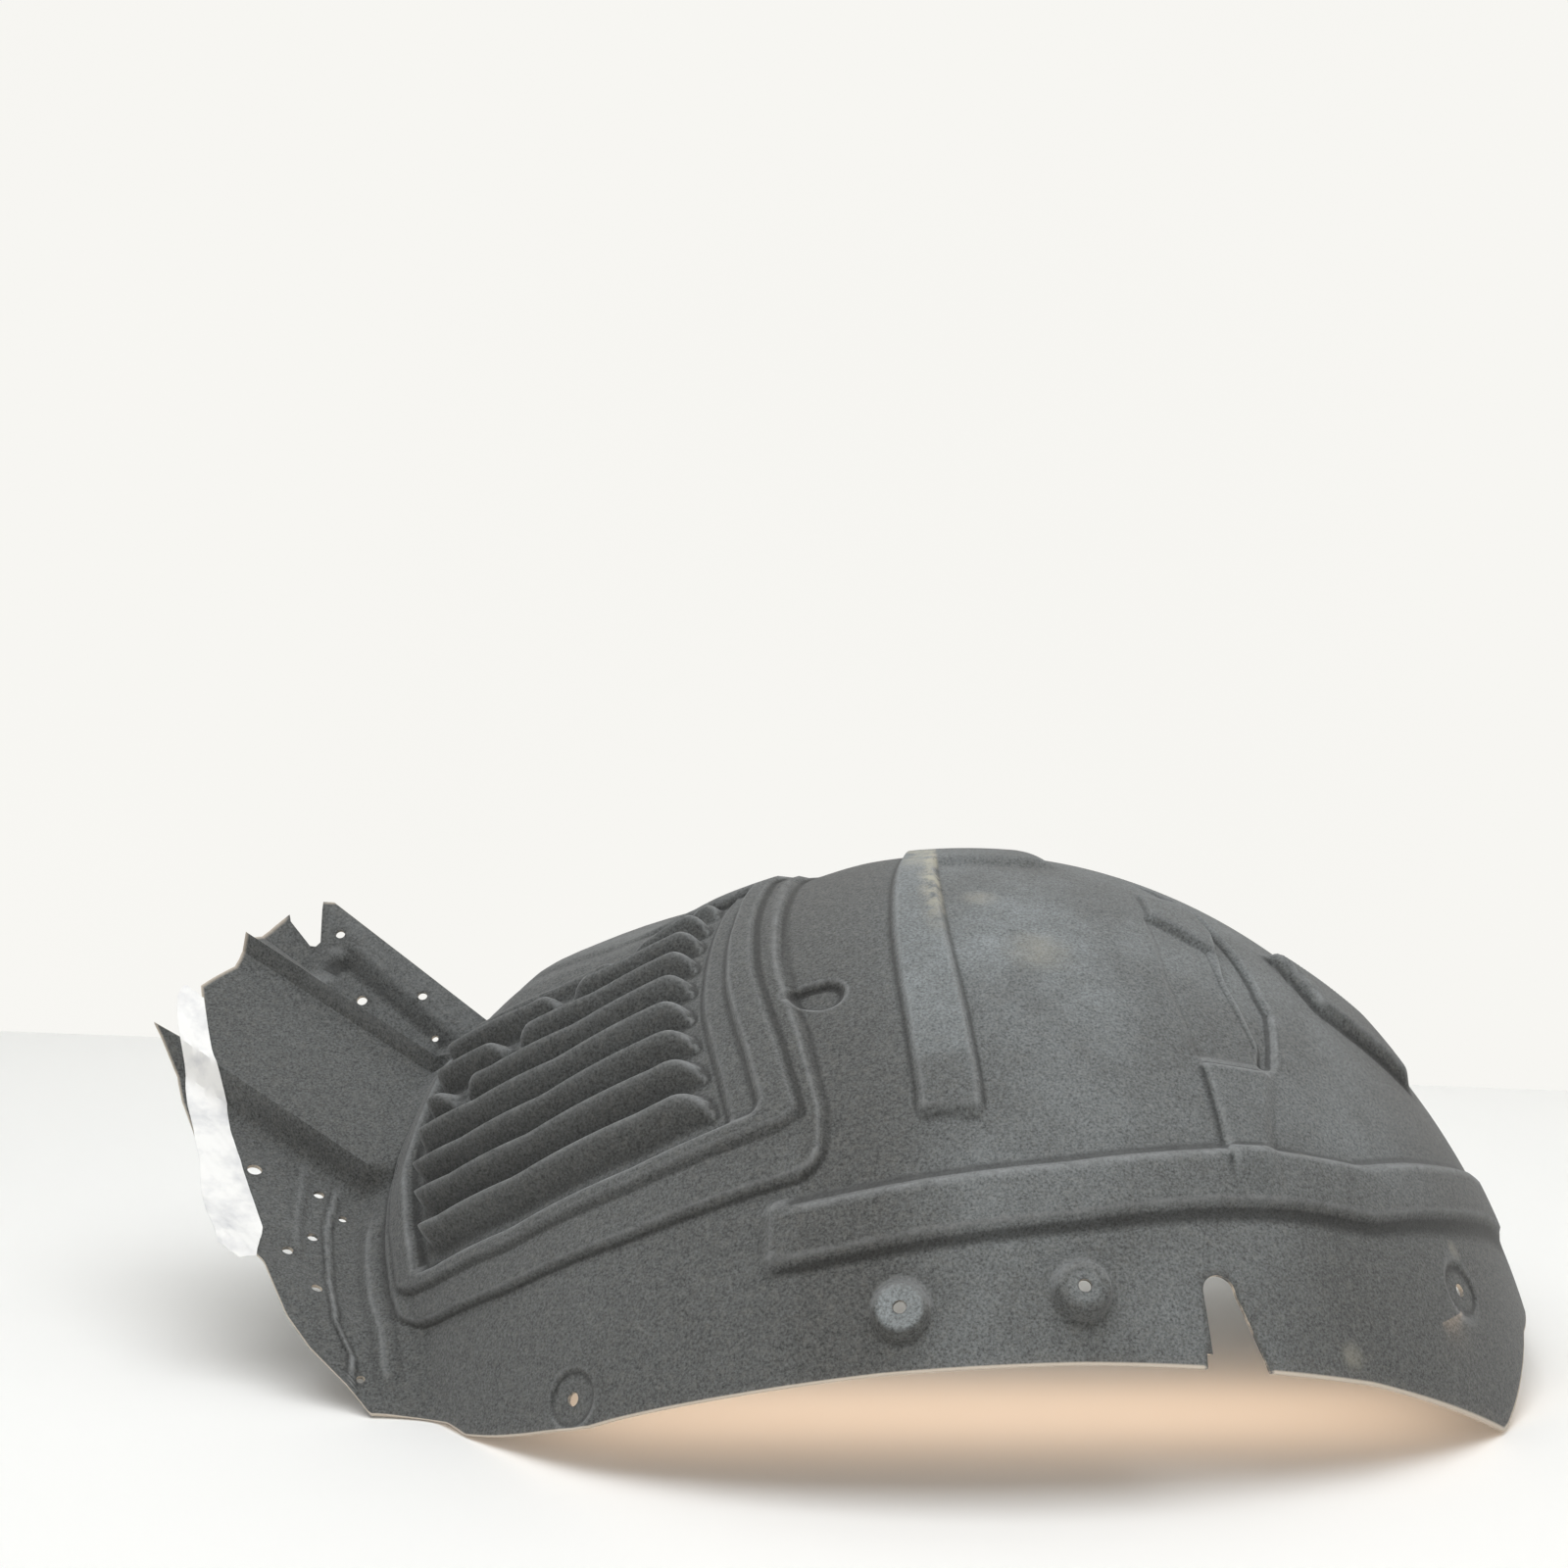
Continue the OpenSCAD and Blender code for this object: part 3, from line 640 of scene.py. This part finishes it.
def cut(piece, tools):
    """Cuts all the tools out of the piece at once."""
    pick(tools[0])
    for tool in tools:
        tool.select_set(True)
    bpy.ops.object.join()
    cutter = bpy.context.object
    pick(piece)
    holes = piece.modifiers.new("holes", "BOOLEAN")
    holes.operation = "DIFFERENCE"
    holes.solver = "EXACT"
    holes.object = cutter
    uncut = len(piece.data.polygons)
    bpy.ops.object.modifier_apply(modifier=holes.name)
    bpy.data.objects.remove(cutter, do_unlink=True)
    if len(piece.data.polygons) in (0, uncut):
        raise RuntimeError("The holes could not be punched")


def drop_folded_slivers(piece):
    """Splits the many-sided faces that the cut leaves, and takes off slivers folded flat on themselves."""
    pick(piece)
    bpy.ops.object.mode_set(mode="EDIT")
    bpy.ops.mesh.select_mode(type="FACE")
    bpy.ops.mesh.select_all(action="SELECT")
    bpy.ops.mesh.remove_doubles(threshold=0.02 * MM)
    bpy.ops.mesh.select_all(action="DESELECT")
    bpy.ops.mesh.select_face_by_sides(number=4, type="GREATER")
    bpy.ops.mesh.quads_convert_to_tris(ngon_method="BEAUTY")
    bpy.ops.mesh.select_all(action="DESELECT")
    bpy.ops.object.mode_set(mode="OBJECT")
    faces = piece.data.polygons
    by_corners = {}
    for face in faces:
        by_corners.setdefault(frozenset(face.vertices), []).append(face.index)
    for same in by_corners.values():
        for index in same if len(same) > 1 else ():
            faces[index].select = True
    bpy.ops.object.mode_set(mode="EDIT")
    bpy.ops.mesh.delete(type="FACE")
    bpy.ops.object.mode_set(mode="OBJECT")


# Maps of wear, dust, painted shade and painted highlight, one value for each point of the flat blank

def fold_maps(x, m, reach=2.4):
    """How sharply the relief bends near each point (1 in hollows, -1 on edges) and how far it
    faces down (1) or up (-1) against the plain wall. Reach is in mm."""
    # These maps place painted shade in hollows and on downward slopes, painted highlight on edges and upward
    # slopes
    widths = [curve(FLANGE_WIDTH, m), ROOT_WIDTH + 0 * x, PANEL_WIDTH + 0 * x]
    dx, dm = reach / np.select([x < 0, x < 1, x < 2], widths, WALL_WIDTH), reach / ROW_HEIGHT

    def relief(across, up):
        return press(np.clip(x + across * dx, -1, WALL_COLUMN), np.clip(m + up * dm, 0, ROW_TOP), 0 * x)[1]

    above, below = relief(0, 1), relief(0, -1)
    around = (above + below + relief(1, 0) + relief(-1, 0)) / 4
    fold = np.clip((around - relief(0, 0)) / 0.7, -1, 1)
    lean = np.clip((above - below) / (2 * reach) / 0.7, -1, 1)
    calm = np.clip((round_distance(x, m, BOSSES) - 22) / 4, 0, 1)
    return fold * calm, lean


def wear_map(x, m):
    """Share of cream, rubbed felt: on the top and the right edge of the pad."""
    c = column(x)
    pad_top = 0.75 * bump(-6.8, -5.4, -1.6, -0.6, c) * bump(48, 57, 67, 70, m)
    pad_side = 0.9 * bump(-3.6, -2, -1, -0.3, c) * bump(34, 46, 66, 70, m)
    return np.where(x >= 2, np.maximum(pad_top, pad_side), 0)


def dust_and_light_haze_map(x, m):
    """Share of a pale haze, partly dust and partly painted light: on the middle of the wall, thinner
    towards its right, and on the pad, and a painted highlight on the tops of the bosses."""
    c = column(x)
    middle = np.exp(-((c - 9) / 13) ** 2 - ((m - 33) / 16) ** 2)
    right = 0.4 * bump(-12, 0, 40, 60, c) * (1 - 0.9 * ease(20, 34, c) * (1 - ease(4, 14, m)))
    pad = 0.75 * bump(*PAD_SIDES, c) * bump(19, 22, 68, 70, m)
    wall = np.maximum(np.maximum(middle, right), pad)
    # The tops of the bosses get a painted highlight
    tops = 1 - ease(0.46, 0.55, round_distance(x, m, BOSSES) * MM / sizes().boss_top)
    return np.maximum(np.where(x >= 2, wall, 0.1), tops)


def rim_map(x, m):
    """1 along the punched rim of the lip and of the end flange, where the cut fibres show under a painted
    highlight.
    """
    return np.maximum(1 - ease(0.07, 0.17, m), 1 - ease(-0.995, -0.985, x))


# Materials

def linear(hex_colour):
    """sRGB hex to linear RGB."""
    values = [int(hex_colour[i:i + 2], 16) / 255 for i in (0, 2, 4)]
    return tuple(v / 12.92 if v <= 0.04045 else ((v + 0.055) / 1.055) ** 2.4 for v in values)


def noise_scale(blob):
    """Scale at which a noise texture's blobs are so many mm across."""
    return 1 / (2 * blob * MM)


def new_material(name):
    """Empty material and its node tree."""
    material = bpy.data.materials.new(name)
    material.use_nodes = True
    material.node_tree.nodes.clear()
    return material, material.node_tree


def add_node(tree, kind, settings=None, links=None, out=0):
    """Adds a node, sets its properties and sockets, links its inputs and returns one output."""
    node = tree.nodes.new("ShaderNode" + kind)
    for key, value in (settings or {}).items():
        if isinstance(key, int) or key in node.inputs:
            node.inputs[key].default_value = value
        else:
            setattr(node, key, value)
    for key, source in (links or {}).items():
        tree.links.new(source, node.inputs[key])
    return node.outputs[out] if node.outputs else None


def felt_material():
    """Needle-punched polyester felt, pressed hot in a mould. To the eye it is a dull dark grey
    nap with lighter tufts, which throws no gloss. A pale haze of dust and painted light lies on the
    wall, painted shade darkens the folds and downward slopes, and painted highlight with some rubbing
    lightens the edges and upward slopes. The worn fibres show cream, and the punched rim shows cream
    fibres under a painted highlight."""
    c = bpy.context.scene.liner_colours
    material, tree = new_material("needle_punched_felt")
    place = add_node(tree, "TexCoord", out="Object")
    # fold and lean place painted shade and painted highlight; the haze is partly painted light
    fold, lean, dust_and_light_haze, wear, rim = (add_node(tree, "Attribute", {"attribute_name": name}, out="Fac")
                                   for name in ("fold", "lean", "dust_and_light_haze", "wear", "rim"))
    # A fibre is 0.03 mm thick, too fine to show, so the nap is drawn as tufts of 0.8 mm. Clumps
    # are 2.2 mm, the streaks that break up the rubbed and lit edges and the worn spots 5 mm, and the
    # haze of dust and painted light lies in patches of 45 mm
    tufts, clumps, streaks, scuffs, patches = (
        add_node(tree, "TexNoise", {"Scale": noise_scale(blob), "Detail": detail, "Roughness": rough},
                 {"Vector": place}, "Fac")
        for blob, detail, rough in ((0.8, 3, 0.7), (2.2, 4, 0.7), (5, 5, 0.7), (6, 6, 0.75), (45, 6, 0.65)))
    # Shares of each look: what drives it, where it starts and is full, its least and its most
    nap, dust, haze_patches, haze_tufts, grain, scuffed, hollow, under, upper, edge, punched = (
        add_node(tree, "MapRange", {"From Min": start, "From Max": full, "To Min": least, "To Max": most},
                 {"Value": source})
        for source, start, full, least, most in (
            (tufts, 0.3, 0.72, 0, 1), (clumps, 0.48, 0.74, 0, 0.45), (patches, 0.3, 0.62, 0.16, 0.8),
            (tufts, 0.3, 0.64, 0.3, 1), (streaks, 0.3, 0.62, 0.3, 1), (scuffs, 0.4, 0.58, 0, 1),
            (fold, 0.05, 0.6, 0, 0.6), (lean, 0.1, 0.9, 0, 0.2), (lean, 0.05, -0.7, 0, 0.36),
            (fold, -0.1, -0.9, 0, 0.48), (rim, 0, 1, 0, 0.8)))
    # The haze is partly dust and partly painted light on the lit wall and the boss tops
    dust_and_light = add_node(tree, "Math", {"operation": "MULTIPLY"}, {0: haze_patches, 1: dust_and_light_haze})
    dust_and_light = add_node(tree, "Math", {"operation": "MULTIPLY"}, {0: dust_and_light, 1: haze_tufts})
    # Edges and upward slopes are lightened, partly as rubbed fibres and partly as painted highlight
    rubbed_and_highlight = add_node(tree, "Math", {"operation": "MAXIMUM"}, {0: upper, 1: edge})
    rubbed_and_highlight = add_node(tree, "Math", {"operation": "MULTIPLY"}, {0: rubbed_and_highlight, 1: grain})
    worn = add_node(tree, "Math", {"operation": "MULTIPLY"}, {0: wear, 1: scuffed})
    for f, a, radius in WORN_SPOTS:
        centre = tuple(float(v) for v in stand(spot_on_arch((f, a))))
        away = add_node(tree, "VectorMath", {"operation": "DISTANCE", 1: centre}, {0: place}, "Value")
        smear = add_node(tree, "MapRange", {"interpolation_type": "SMOOTHSTEP", "From Min": 0.1 * radius * MM,
                                            "From Max": radius * MM, "To Min": 0.32, "To Max": 0},
                         {"Value": away})
        smear = add_node(tree, "Math", {"operation": "MULTIPLY"}, {0: smear, 1: grain})
        worn = add_node(tree, "Math", {"operation": "MAXIMUM"}, {0: worn, 1: smear})
    # The layers lie over each other from the bare nap to the cut edge
    colour = add_node(tree, "Mix", {"data_type": "RGBA", 6: (*c.felt_dark, 1), 7: (*c.felt_light, 1)},
                      {"Factor": nap}, 2)
    # Painted shade darkens the hollows and downward slopes; the punched rim gets cream fibres with a painted
    # highlight
    for share, tone in ((dust, c.dust), (dust_and_light, c.dust_and_light_haze), (rubbed_and_highlight, c.rubbed_and_highlight), (under, c.painted_shade),
                        (hollow, c.painted_shade), (worn, c.worn), (punched, c.cut_edge)):
        colour = add_node(tree, "Mix", {"data_type": "RGBA", 7: (*tone, 1)}, {"Factor": share, 6: colour}, 2)
    height = add_node(tree, "Mix", {"Factor": 0.55}, {2: tufts, 3: clumps})
    nap_bump = add_node(tree, "Bump", {"Strength": 0.6, "Distance": 0.6 * MM}, {"Height": height})
    shader = add_node(tree, "BsdfPrincipled", {"Roughness": 0.93, "Specular IOR Level": 0.25,
                                               "Sheen Weight": 0.15, "Sheen Roughness": 0.6},
                      {"Base Color": colour, "Normal": nap_bump})
    add_node(tree, "OutputMaterial", links={"Surface": shader})
    return material


def cut_edge_material():
    """Punched edge of the felt: to the eye a pale, frayed line, partly the cut fibres and partly a painted
    highlight, dull and dusty in places.
    """
    c = bpy.context.scene.liner_colours
    material, tree = new_material("punched_felt_edge")
    place = add_node(tree, "TexCoord", out="Object")
    # The punch pulls out tufts about every 6 mm
    tufts = add_node(tree, "TexNoise", {"Scale": noise_scale(6), "Detail": 4, "Roughness": 0.7},
                     {"Vector": place}, "Fac")
    fray = add_node(tree, "MapRange", {"From Min": 0.38, "From Max": 0.6}, {"Value": tufts})
    colour = add_node(tree, "Mix", {"data_type": "RGBA", 6: (*c.felt_light, 1), 7: (*c.cut_edge, 1)},
                      {"Factor": fray}, 2)
    shader = add_node(tree, "BsdfPrincipled", {"Roughness": 0.95, "Specular IOR Level": 0.2},
                      {"Base Color": colour})
    add_node(tree, "OutputMaterial", links={"Surface": shader})
    return material


def paper_material():
    """Calendered label paper: to the eye bright white with a faint gloss, a little grey in its creases."""
    c = bpy.context.scene.liner_colours
    material, tree = new_material("calendered_label_paper")
    place = add_node(tree, "TexCoord", out="Object")
    # Creases of a crumpled label lie about 14 mm apart
    creases = add_node(tree, "TexNoise", {"Scale": noise_scale(14), "Detail": 4, "Roughness": 0.6},
                       {"Vector": place}, "Fac")
    smooth = add_node(tree, "MapRange", {"From Min": 0.3, "From Max": 0.55}, {"Value": creases})
    colour = add_node(tree, "Mix", {"data_type": "RGBA", 6: (*c.paper_shade, 1), 7: (*c.paper, 1)},
                      {"Factor": smooth}, 2)
    crumple = add_node(tree, "Bump", {"Strength": 0.4, "Distance": MM}, {"Height": creases})
    shader = add_node(tree, "BsdfPrincipled", {"Roughness": 0.55, "Specular IOR Level": 0.5},
                      {"Base Color": colour, "Normal": crumple})
    add_node(tree, "OutputMaterial", links={"Surface": shader})
    return material


def card_material(name, colour, is_back):
    """Coated white card, rolled smooth: to the eye an even pale ground without gloss. The card at
    the back shows its own colour to the camera and in gloss and glass, lights nothing more than
    a plain card does, and is clear from behind, so that the liner can be looked at from there."""
    material, tree = new_material(name)
    place = add_node(tree, "TexCoord", out="Object")
    # A large card is never quite even: its tone drifts over about 400 mm
    faint = add_node(tree, "TexNoise", {"Scale": noise_scale(400), "Detail": 2, "Roughness": 0.5},
                     {"Vector": place}, "Fac")
    drift = add_node(tree, "MapRange", {"From Min": 0.3, "From Max": 0.7}, {"Value": faint})
    tone = add_node(tree, "Mix", {"data_type": "RGBA", 6: (*colour, 1), 7: (*(0.985 * v for v in colour), 1)},
                    {"Factor": drift}, 2)
    shader = add_node(tree, "BsdfPrincipled", {"Roughness": 0.6, "Specular IOR Level": 0.2},
                      {"Base Color": tone})
    if is_back:
        camera, gloss, glass = (add_node(tree, "LightPath", out=ray) for ray in
                                ("Is Camera Ray", "Is Glossy Ray", "Is Transmission Ray"))
        seen = add_node(tree, "Math", {"operation": "MAXIMUM"}, {0: gloss, 1: glass})
        seen = add_node(tree, "Math", {"operation": "MAXIMUM"}, {0: camera, 1: seen})
        glow = add_node(tree, "Emission", {"Strength": 1}, {"Color": tone})
        front = add_node(tree, "MixShader", links={0: seen, 1: shader, 2: glow})
        behind = add_node(tree, "NewGeometry", out="Backfacing")
        clear = add_node(tree, "BsdfTransparent")
        shader = add_node(tree, "MixShader", links={0: behind, 1: front, 2: clear})
    add_node(tree, "OutputMaterial", links={"Surface": shader})
    return material


# Sizes and colours that a user would change

def length(name, text, default):
    """Length property in metres."""
    return bpy.props.FloatProperty(name=name, description=text, default=default, min=0, unit="LENGTH",
                                   precision=4)


def colour(name, text, hex_colour):
    """Colour property, given as sRGB hex."""
    return bpy.props.FloatVectorProperty(name=name, description=text, default=linear(hex_colour),
                                         subtype="COLOR", size=3, min=0, max=1)


class LinerSizes(bpy.types.PropertyGroup):
    """Sizes of the liner and its label"""
    arch_radius: length("Arch radius", "Radius of the arch at the lip", 0.372)
    arch_depth: length("Arch depth", "Depth from the lip to the top of the section", 0.425)
    axis_lean: bpy.props.FloatProperty(name="Axis lean", default=math.radians(29.9), subtype="ANGLE",
                                       description="Backward lean of the wheel axis at rest")
    axis_place: bpy.props.FloatVectorProperty(name="Axis place", description="Centre of the lip circle",
                                              default=(0.09011, 0.047245, -0.10554), subtype="XYZ",
                                              unit="LENGTH")
    thickness: length("Felt thickness", "Thickness of the pressed felt", 0.0024)
    frame_step: length("Frame step", "Height of the first step round the louvres", 0.005)
    frame_ridge: length("Frame ridge", "Height of the ridge round the louvres", 0.009)
    louvre: length("Louvre height", "Height of the louvre crests over the panel floor", 0.015)
    band: length("Band height", "Height of the long band over the lip", 0.0055)
    pad: length("Pad height", "Height of the upright pad", 0.0045)
    block: length("Block height", "Height of the block at the far right", 0.009)
    pocket: length("Groove depth", "Depth of the curved groove on the right", 0.005)
    pocket_floor: length("Field depth", "Depth of the flat field beside the groove", 0.002)
    leg: length("Leg height", "Height of the short leg under the groove", 0.0045)
    strip: length("Strip height", "Height of the strip over the field", 0.0035)
    dimple: length("Dimple depth", "Depth of the keyhole dimple", 0.005)
    boss_foot: length("Boss foot", "Foot diameter of the bosses", 0.035)
    boss_top: length("Boss top", "Top diameter of the bosses", 0.029)
    boss_hole: length("Boss hole", "Bore of the boss screw holes", 0.0074)
    lip_hole: length("Lip hole", "Bore of the lip screw holes", 0.0082)
    seat_depth: length("Seat depth", "Depth of the round seats at the lip holes", 0.0016)
    seat_width: length("Seat width", "Width of the round seats at the lip holes", 0.034)
    slot: length("Slot width", "Width of the slot in the lip", 0.02)
    flange_rise: length("Flange rise", "Rise of the broad face over the lower flange", 0.018)
    flange_drop: length("Flange drop", "Drop behind the ridge to the rear flange", 0.028)
    label_gap: length("Label gap", "Room for the glue under the label", 0.00025)
    label_thickness: length("Label thickness", "Thickness of the paper label", 0.0005)


class LinerColours(bpy.types.PropertyGroup):
    """Colours of the liner, its label and the stage"""
    felt_dark: colour("Felt, deep fibres", "Colour between the fibres", "292928")
    felt_light: colour("Felt, outer fibres", "Colour of the fibres that catch light", "686A69")
    dust: colour("Dust", "Road dust held by the felt", "74736E")
    # Partly a pale dust film, partly painted light on the lit wall and the boss tops
    dust_and_light_haze: colour("Haze", "Pale dust film on the wall", "A3ABAE")
    # Painted shade in the folds and under the downward slopes
    painted_shade: colour("Soot", "Dirt in the folds", "1A1A19")
    # Partly rubbed fibres, partly painted highlight on the edges and upward slopes
    rubbed_and_highlight: colour("Rubbed edges", "Fibres worn light on the edges", "9A9D9E")
    worn: colour("Worn felt", "Cream fibres where the felt is rubbed through", "ABA797")
    # Cut fibres with a painted highlight along the punched rim
    cut_edge: colour("Cut edge", "Punched edge of the felt", "D6CABA")
    paper: colour("Paper", "Label paper", "F4F4F2")
    paper_shade: colour("Paper, shaded", "Creases of the label paper", "D5D6D8")
    floor: colour("Floor", "Board under the liner", "F7F7F5")
    backdrop: colour("Backdrop", "Board behind the liner", "F8F7F3")


class LINER_OT_felt(bpy.types.Operator):
    """Press and punch the felt liner"""
    bl_idname = "liner.felt"
    bl_label = "Felt liner"

    def execute(self, context):
        s = sizes()
        liner = make_blank()
        x, m, depth = coordinates(liner.data).T
        formed, _ = press(x, m, depth)
        liner.data.vertices.foreach_set("co", formed.ravel())
        liner.data.update()
        fold, lean = fold_maps(x, m)
        maps = {"wear": wear_map(x, m), "dust_and_light_haze": dust_and_light_haze_map(x, m), "fold": fold, "lean": lean,
                "rim": rim_map(x, m)}
        for name, values in maps.items():
            layer = liner.data.attributes.new(name, "FLOAT", "POINT")
            layer.data.foreach_set("value", values.astype(np.float32))
        edge = cut_edge_material()
        liner.data.materials.append(felt_material())
        liner.data.materials.append(edge)
        tools = [punch(s.boss_hole, place_on_wall(f, a)) for f, a, _ in BOSSES]
        tools += [punch(s.lip_hole, place_on_wall(f, a)) for f, a in LIP_HOLES]
        tools += [punch(MM * bore, place_on_flange(row, p)) for row, p, bore in FLANGE_HOLES]
        tools += [die(slot_outline(), place_on_wall(*SLOT)), die(NOTCH_OUTLINE, place_on_flange(*NOTCH))]
        for tool in tools:
            tool.data.materials.append(edge)
        cut(liner, tools)
        drop_folded_slivers(liner)
        bpy.ops.object.shade_smooth_by_angle(angle=math.radians(50))
        liner.name = "felt_liner"
        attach(liner, "root")
        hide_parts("liner")
        return {"FINISHED"}


class LINER_OT_label(bpy.types.Operator):
    """Stick the crumpled paper label on the end flange"""
    bl_idname = "liner.label"
    bl_label = "Paper label"

    def execute(self, context):
        s = sizes()
        deselect()
        bpy.ops.mesh.primitive_grid_add(x_subdivisions=LABEL_COLUMNS, y_subdivisions=LABEL_ROWS, size=1)
        label = bpy.context.object
        co = coordinates(label.data)
        share, m = co[:, 0] + 0.5, LABEL_START + (co[:, 1] + 0.5) * LABEL_LENGTH
        p = curve(LABEL_INNER, m) * share + curve(LABEL_OUTER, m) * (1 - share)
        on_sheet, _ = press(np.clip(-p / curve(FLANGE_WIDTH, m), -1, 0), m, 0 * m)
        beyond = np.maximum(p - curve(FLANGE_WIDTH, m), 0)
        spread = stand(flange_direction(m)) - stand(np.zeros((len(m), 3)))
        crumple = CRUMPLE * (np.sin(m * 1.7 + share * 5) * np.sin(share * 9 + m * 0.6) + 1)
        lift = s.label_gap + s.label_thickness + crumple
        points = on_sheet + spread * beyond[:, None] + stand_direction(FLANGE_NORMAL) * lift[:, None]
        label.data.vertices.foreach_set("co", points.ravel())
        label.data.update()
        paper = label.modifiers.new("paper thickness", "SOLIDIFY")
        paper.thickness = s.label_thickness
        paper.offset = -1
        bpy.ops.object.modifier_apply(modifier=paper.name)
        label.data.materials.append(paper_material())
        bpy.ops.object.shade_smooth_by_angle(angle=math.radians(40))
        label.name = "paper_strip"
        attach(label, "root")
        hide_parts("paper_label")
        return {"FINISHED"}


class LINER_OT_stage(bpy.types.Operator):
    """Lay the white boards, hang the lamps and set the camera"""
    bl_idname = "liner.stage"
    bl_label = "Stage"

    def execute(self, context):
        camera = self.camera(context)
        left, right = (self.on_floor(camera, px, py) for px, py in FLOOR_EDGE)
        self.boards(context.scene.liner_colours, left, right)
        self.lamps()
        world = context.scene.world or bpy.data.worlds.new("studio")
        context.scene.world = world
        world.use_nodes = True
        sky = world.node_tree.nodes["Background"].inputs
        sky["Color"].default_value = (1, 1, 1, 1)
        sky["Strength"].default_value = SKY_STRENGTH
        context.scene.view_settings.view_transform = "Standard"
        return {"FINISHED"}

    def camera(self, context):
        """Camera where the photograph was taken from."""
        data = bpy.data.cameras.new("camera")
        camera = bpy.data.objects.new("camera", data)
        context.collection.objects.link(camera)
        data.lens = LENS
        data.sensor_width = SENSOR
        data.clip_end = 50
        camera.location = CAMERA_PLACE
        camera.rotation_euler = (CAMERA_TILT, 0, 0)
        context.scene.camera = camera
        return camera

    def on_floor(self, camera, px, py):
        """Point of the floor that the photograph shows at a pixel."""
        focal = LENS / SENSOR * PHOTO_SIZE
        middle = PHOTO_SIZE / 2
        ray = camera.rotation_euler.to_matrix() @ Vector(((px - middle) / focal, -(py - middle) / focal, -1))
        start = camera.location
        return start + ray * (-start.z / ray.z)

    def boards(self, colours, left, right):
        """Floor and back boards that meet along the line between two points."""
        along = (right - left).normalized()
        turn = Matrix((along, (-along.y, along.x, 0), (0, 0, 1))).transposed().to_4x4()
        for name, size, offset, tilt, tone, is_back in BOARDS:
            deselect()
            bpy.ops.mesh.primitive_plane_add(size=1)
            board = bpy.context.object
            board.name = name
            board.data.transform(Matrix.Diagonal((*size, 1, 1)))
            board.data.transform(Matrix.Rotation(tilt, 4, "X"))
            board.data.transform(Matrix.Translation((left + right) / 2) @ turn @ Matrix.Translation(offset))
            card = card_material("coated_card_" + tone, getattr(colours, tone), is_back)
            board.data.materials.append(card)

    def lamps(self):
        """Soft lamps, each turned to its aim."""
        for name, place, aim, size, watts, tint in LAMPS:
            light = bpy.data.lights.new(name, "AREA")
            light.energy = watts
            light.shape = "RECTANGLE"
            light.size, light.size_y = size
            light.color = tint
            lamp = bpy.data.objects.new(name, light)
            bpy.context.collection.objects.link(lamp)
            lamp.location = place
            lamp.rotation_euler = (Vector(aim) - Vector(place)).to_track_quat("-Z", "Y").to_euler()


class LINER_PT_panel(bpy.types.Panel):
    """Sizes, colours and makers of the liner"""
    bl_idname = "LINER_PT_panel"
    bl_label = "Wheel arch liner"
    bl_space_type = "VIEW_3D"
    bl_region_type = "UI"
    bl_category = "Liner"

    def draw(self, context):
        rows = self.layout.column()
        for group in (context.scene.liner_sizes, context.scene.liner_colours):
            for name in group.__annotations__:
                rows.prop(group, name)
        for operator in (LINER_OT_felt, LINER_OT_label, LINER_OT_stage):
            rows.operator(operator.bl_idname)


CLASSES = (LinerSizes, LinerColours, LINER_OT_felt, LINER_OT_label, LINER_OT_stage, LINER_PT_panel)


def register():
    for cls in CLASSES:
        bpy.utils.register_class(cls)
    bpy.types.Scene.liner_sizes = bpy.props.PointerProperty(type=LinerSizes)
    bpy.types.Scene.liner_colours = bpy.props.PointerProperty(type=LinerColours)


def unregister():
    del bpy.types.Scene.liner_colours
    del bpy.types.Scene.liner_sizes
    for cls in reversed(CLASSES):
        bpy.utils.unregister_class(cls)


def main():
    """Makes the liner, its label and the stage."""
    register()
    bpy.ops.liner.felt()
    bpy.ops.liner.label()
    bpy.ops.liner.stage()


if __name__ == "__main__":
    main()
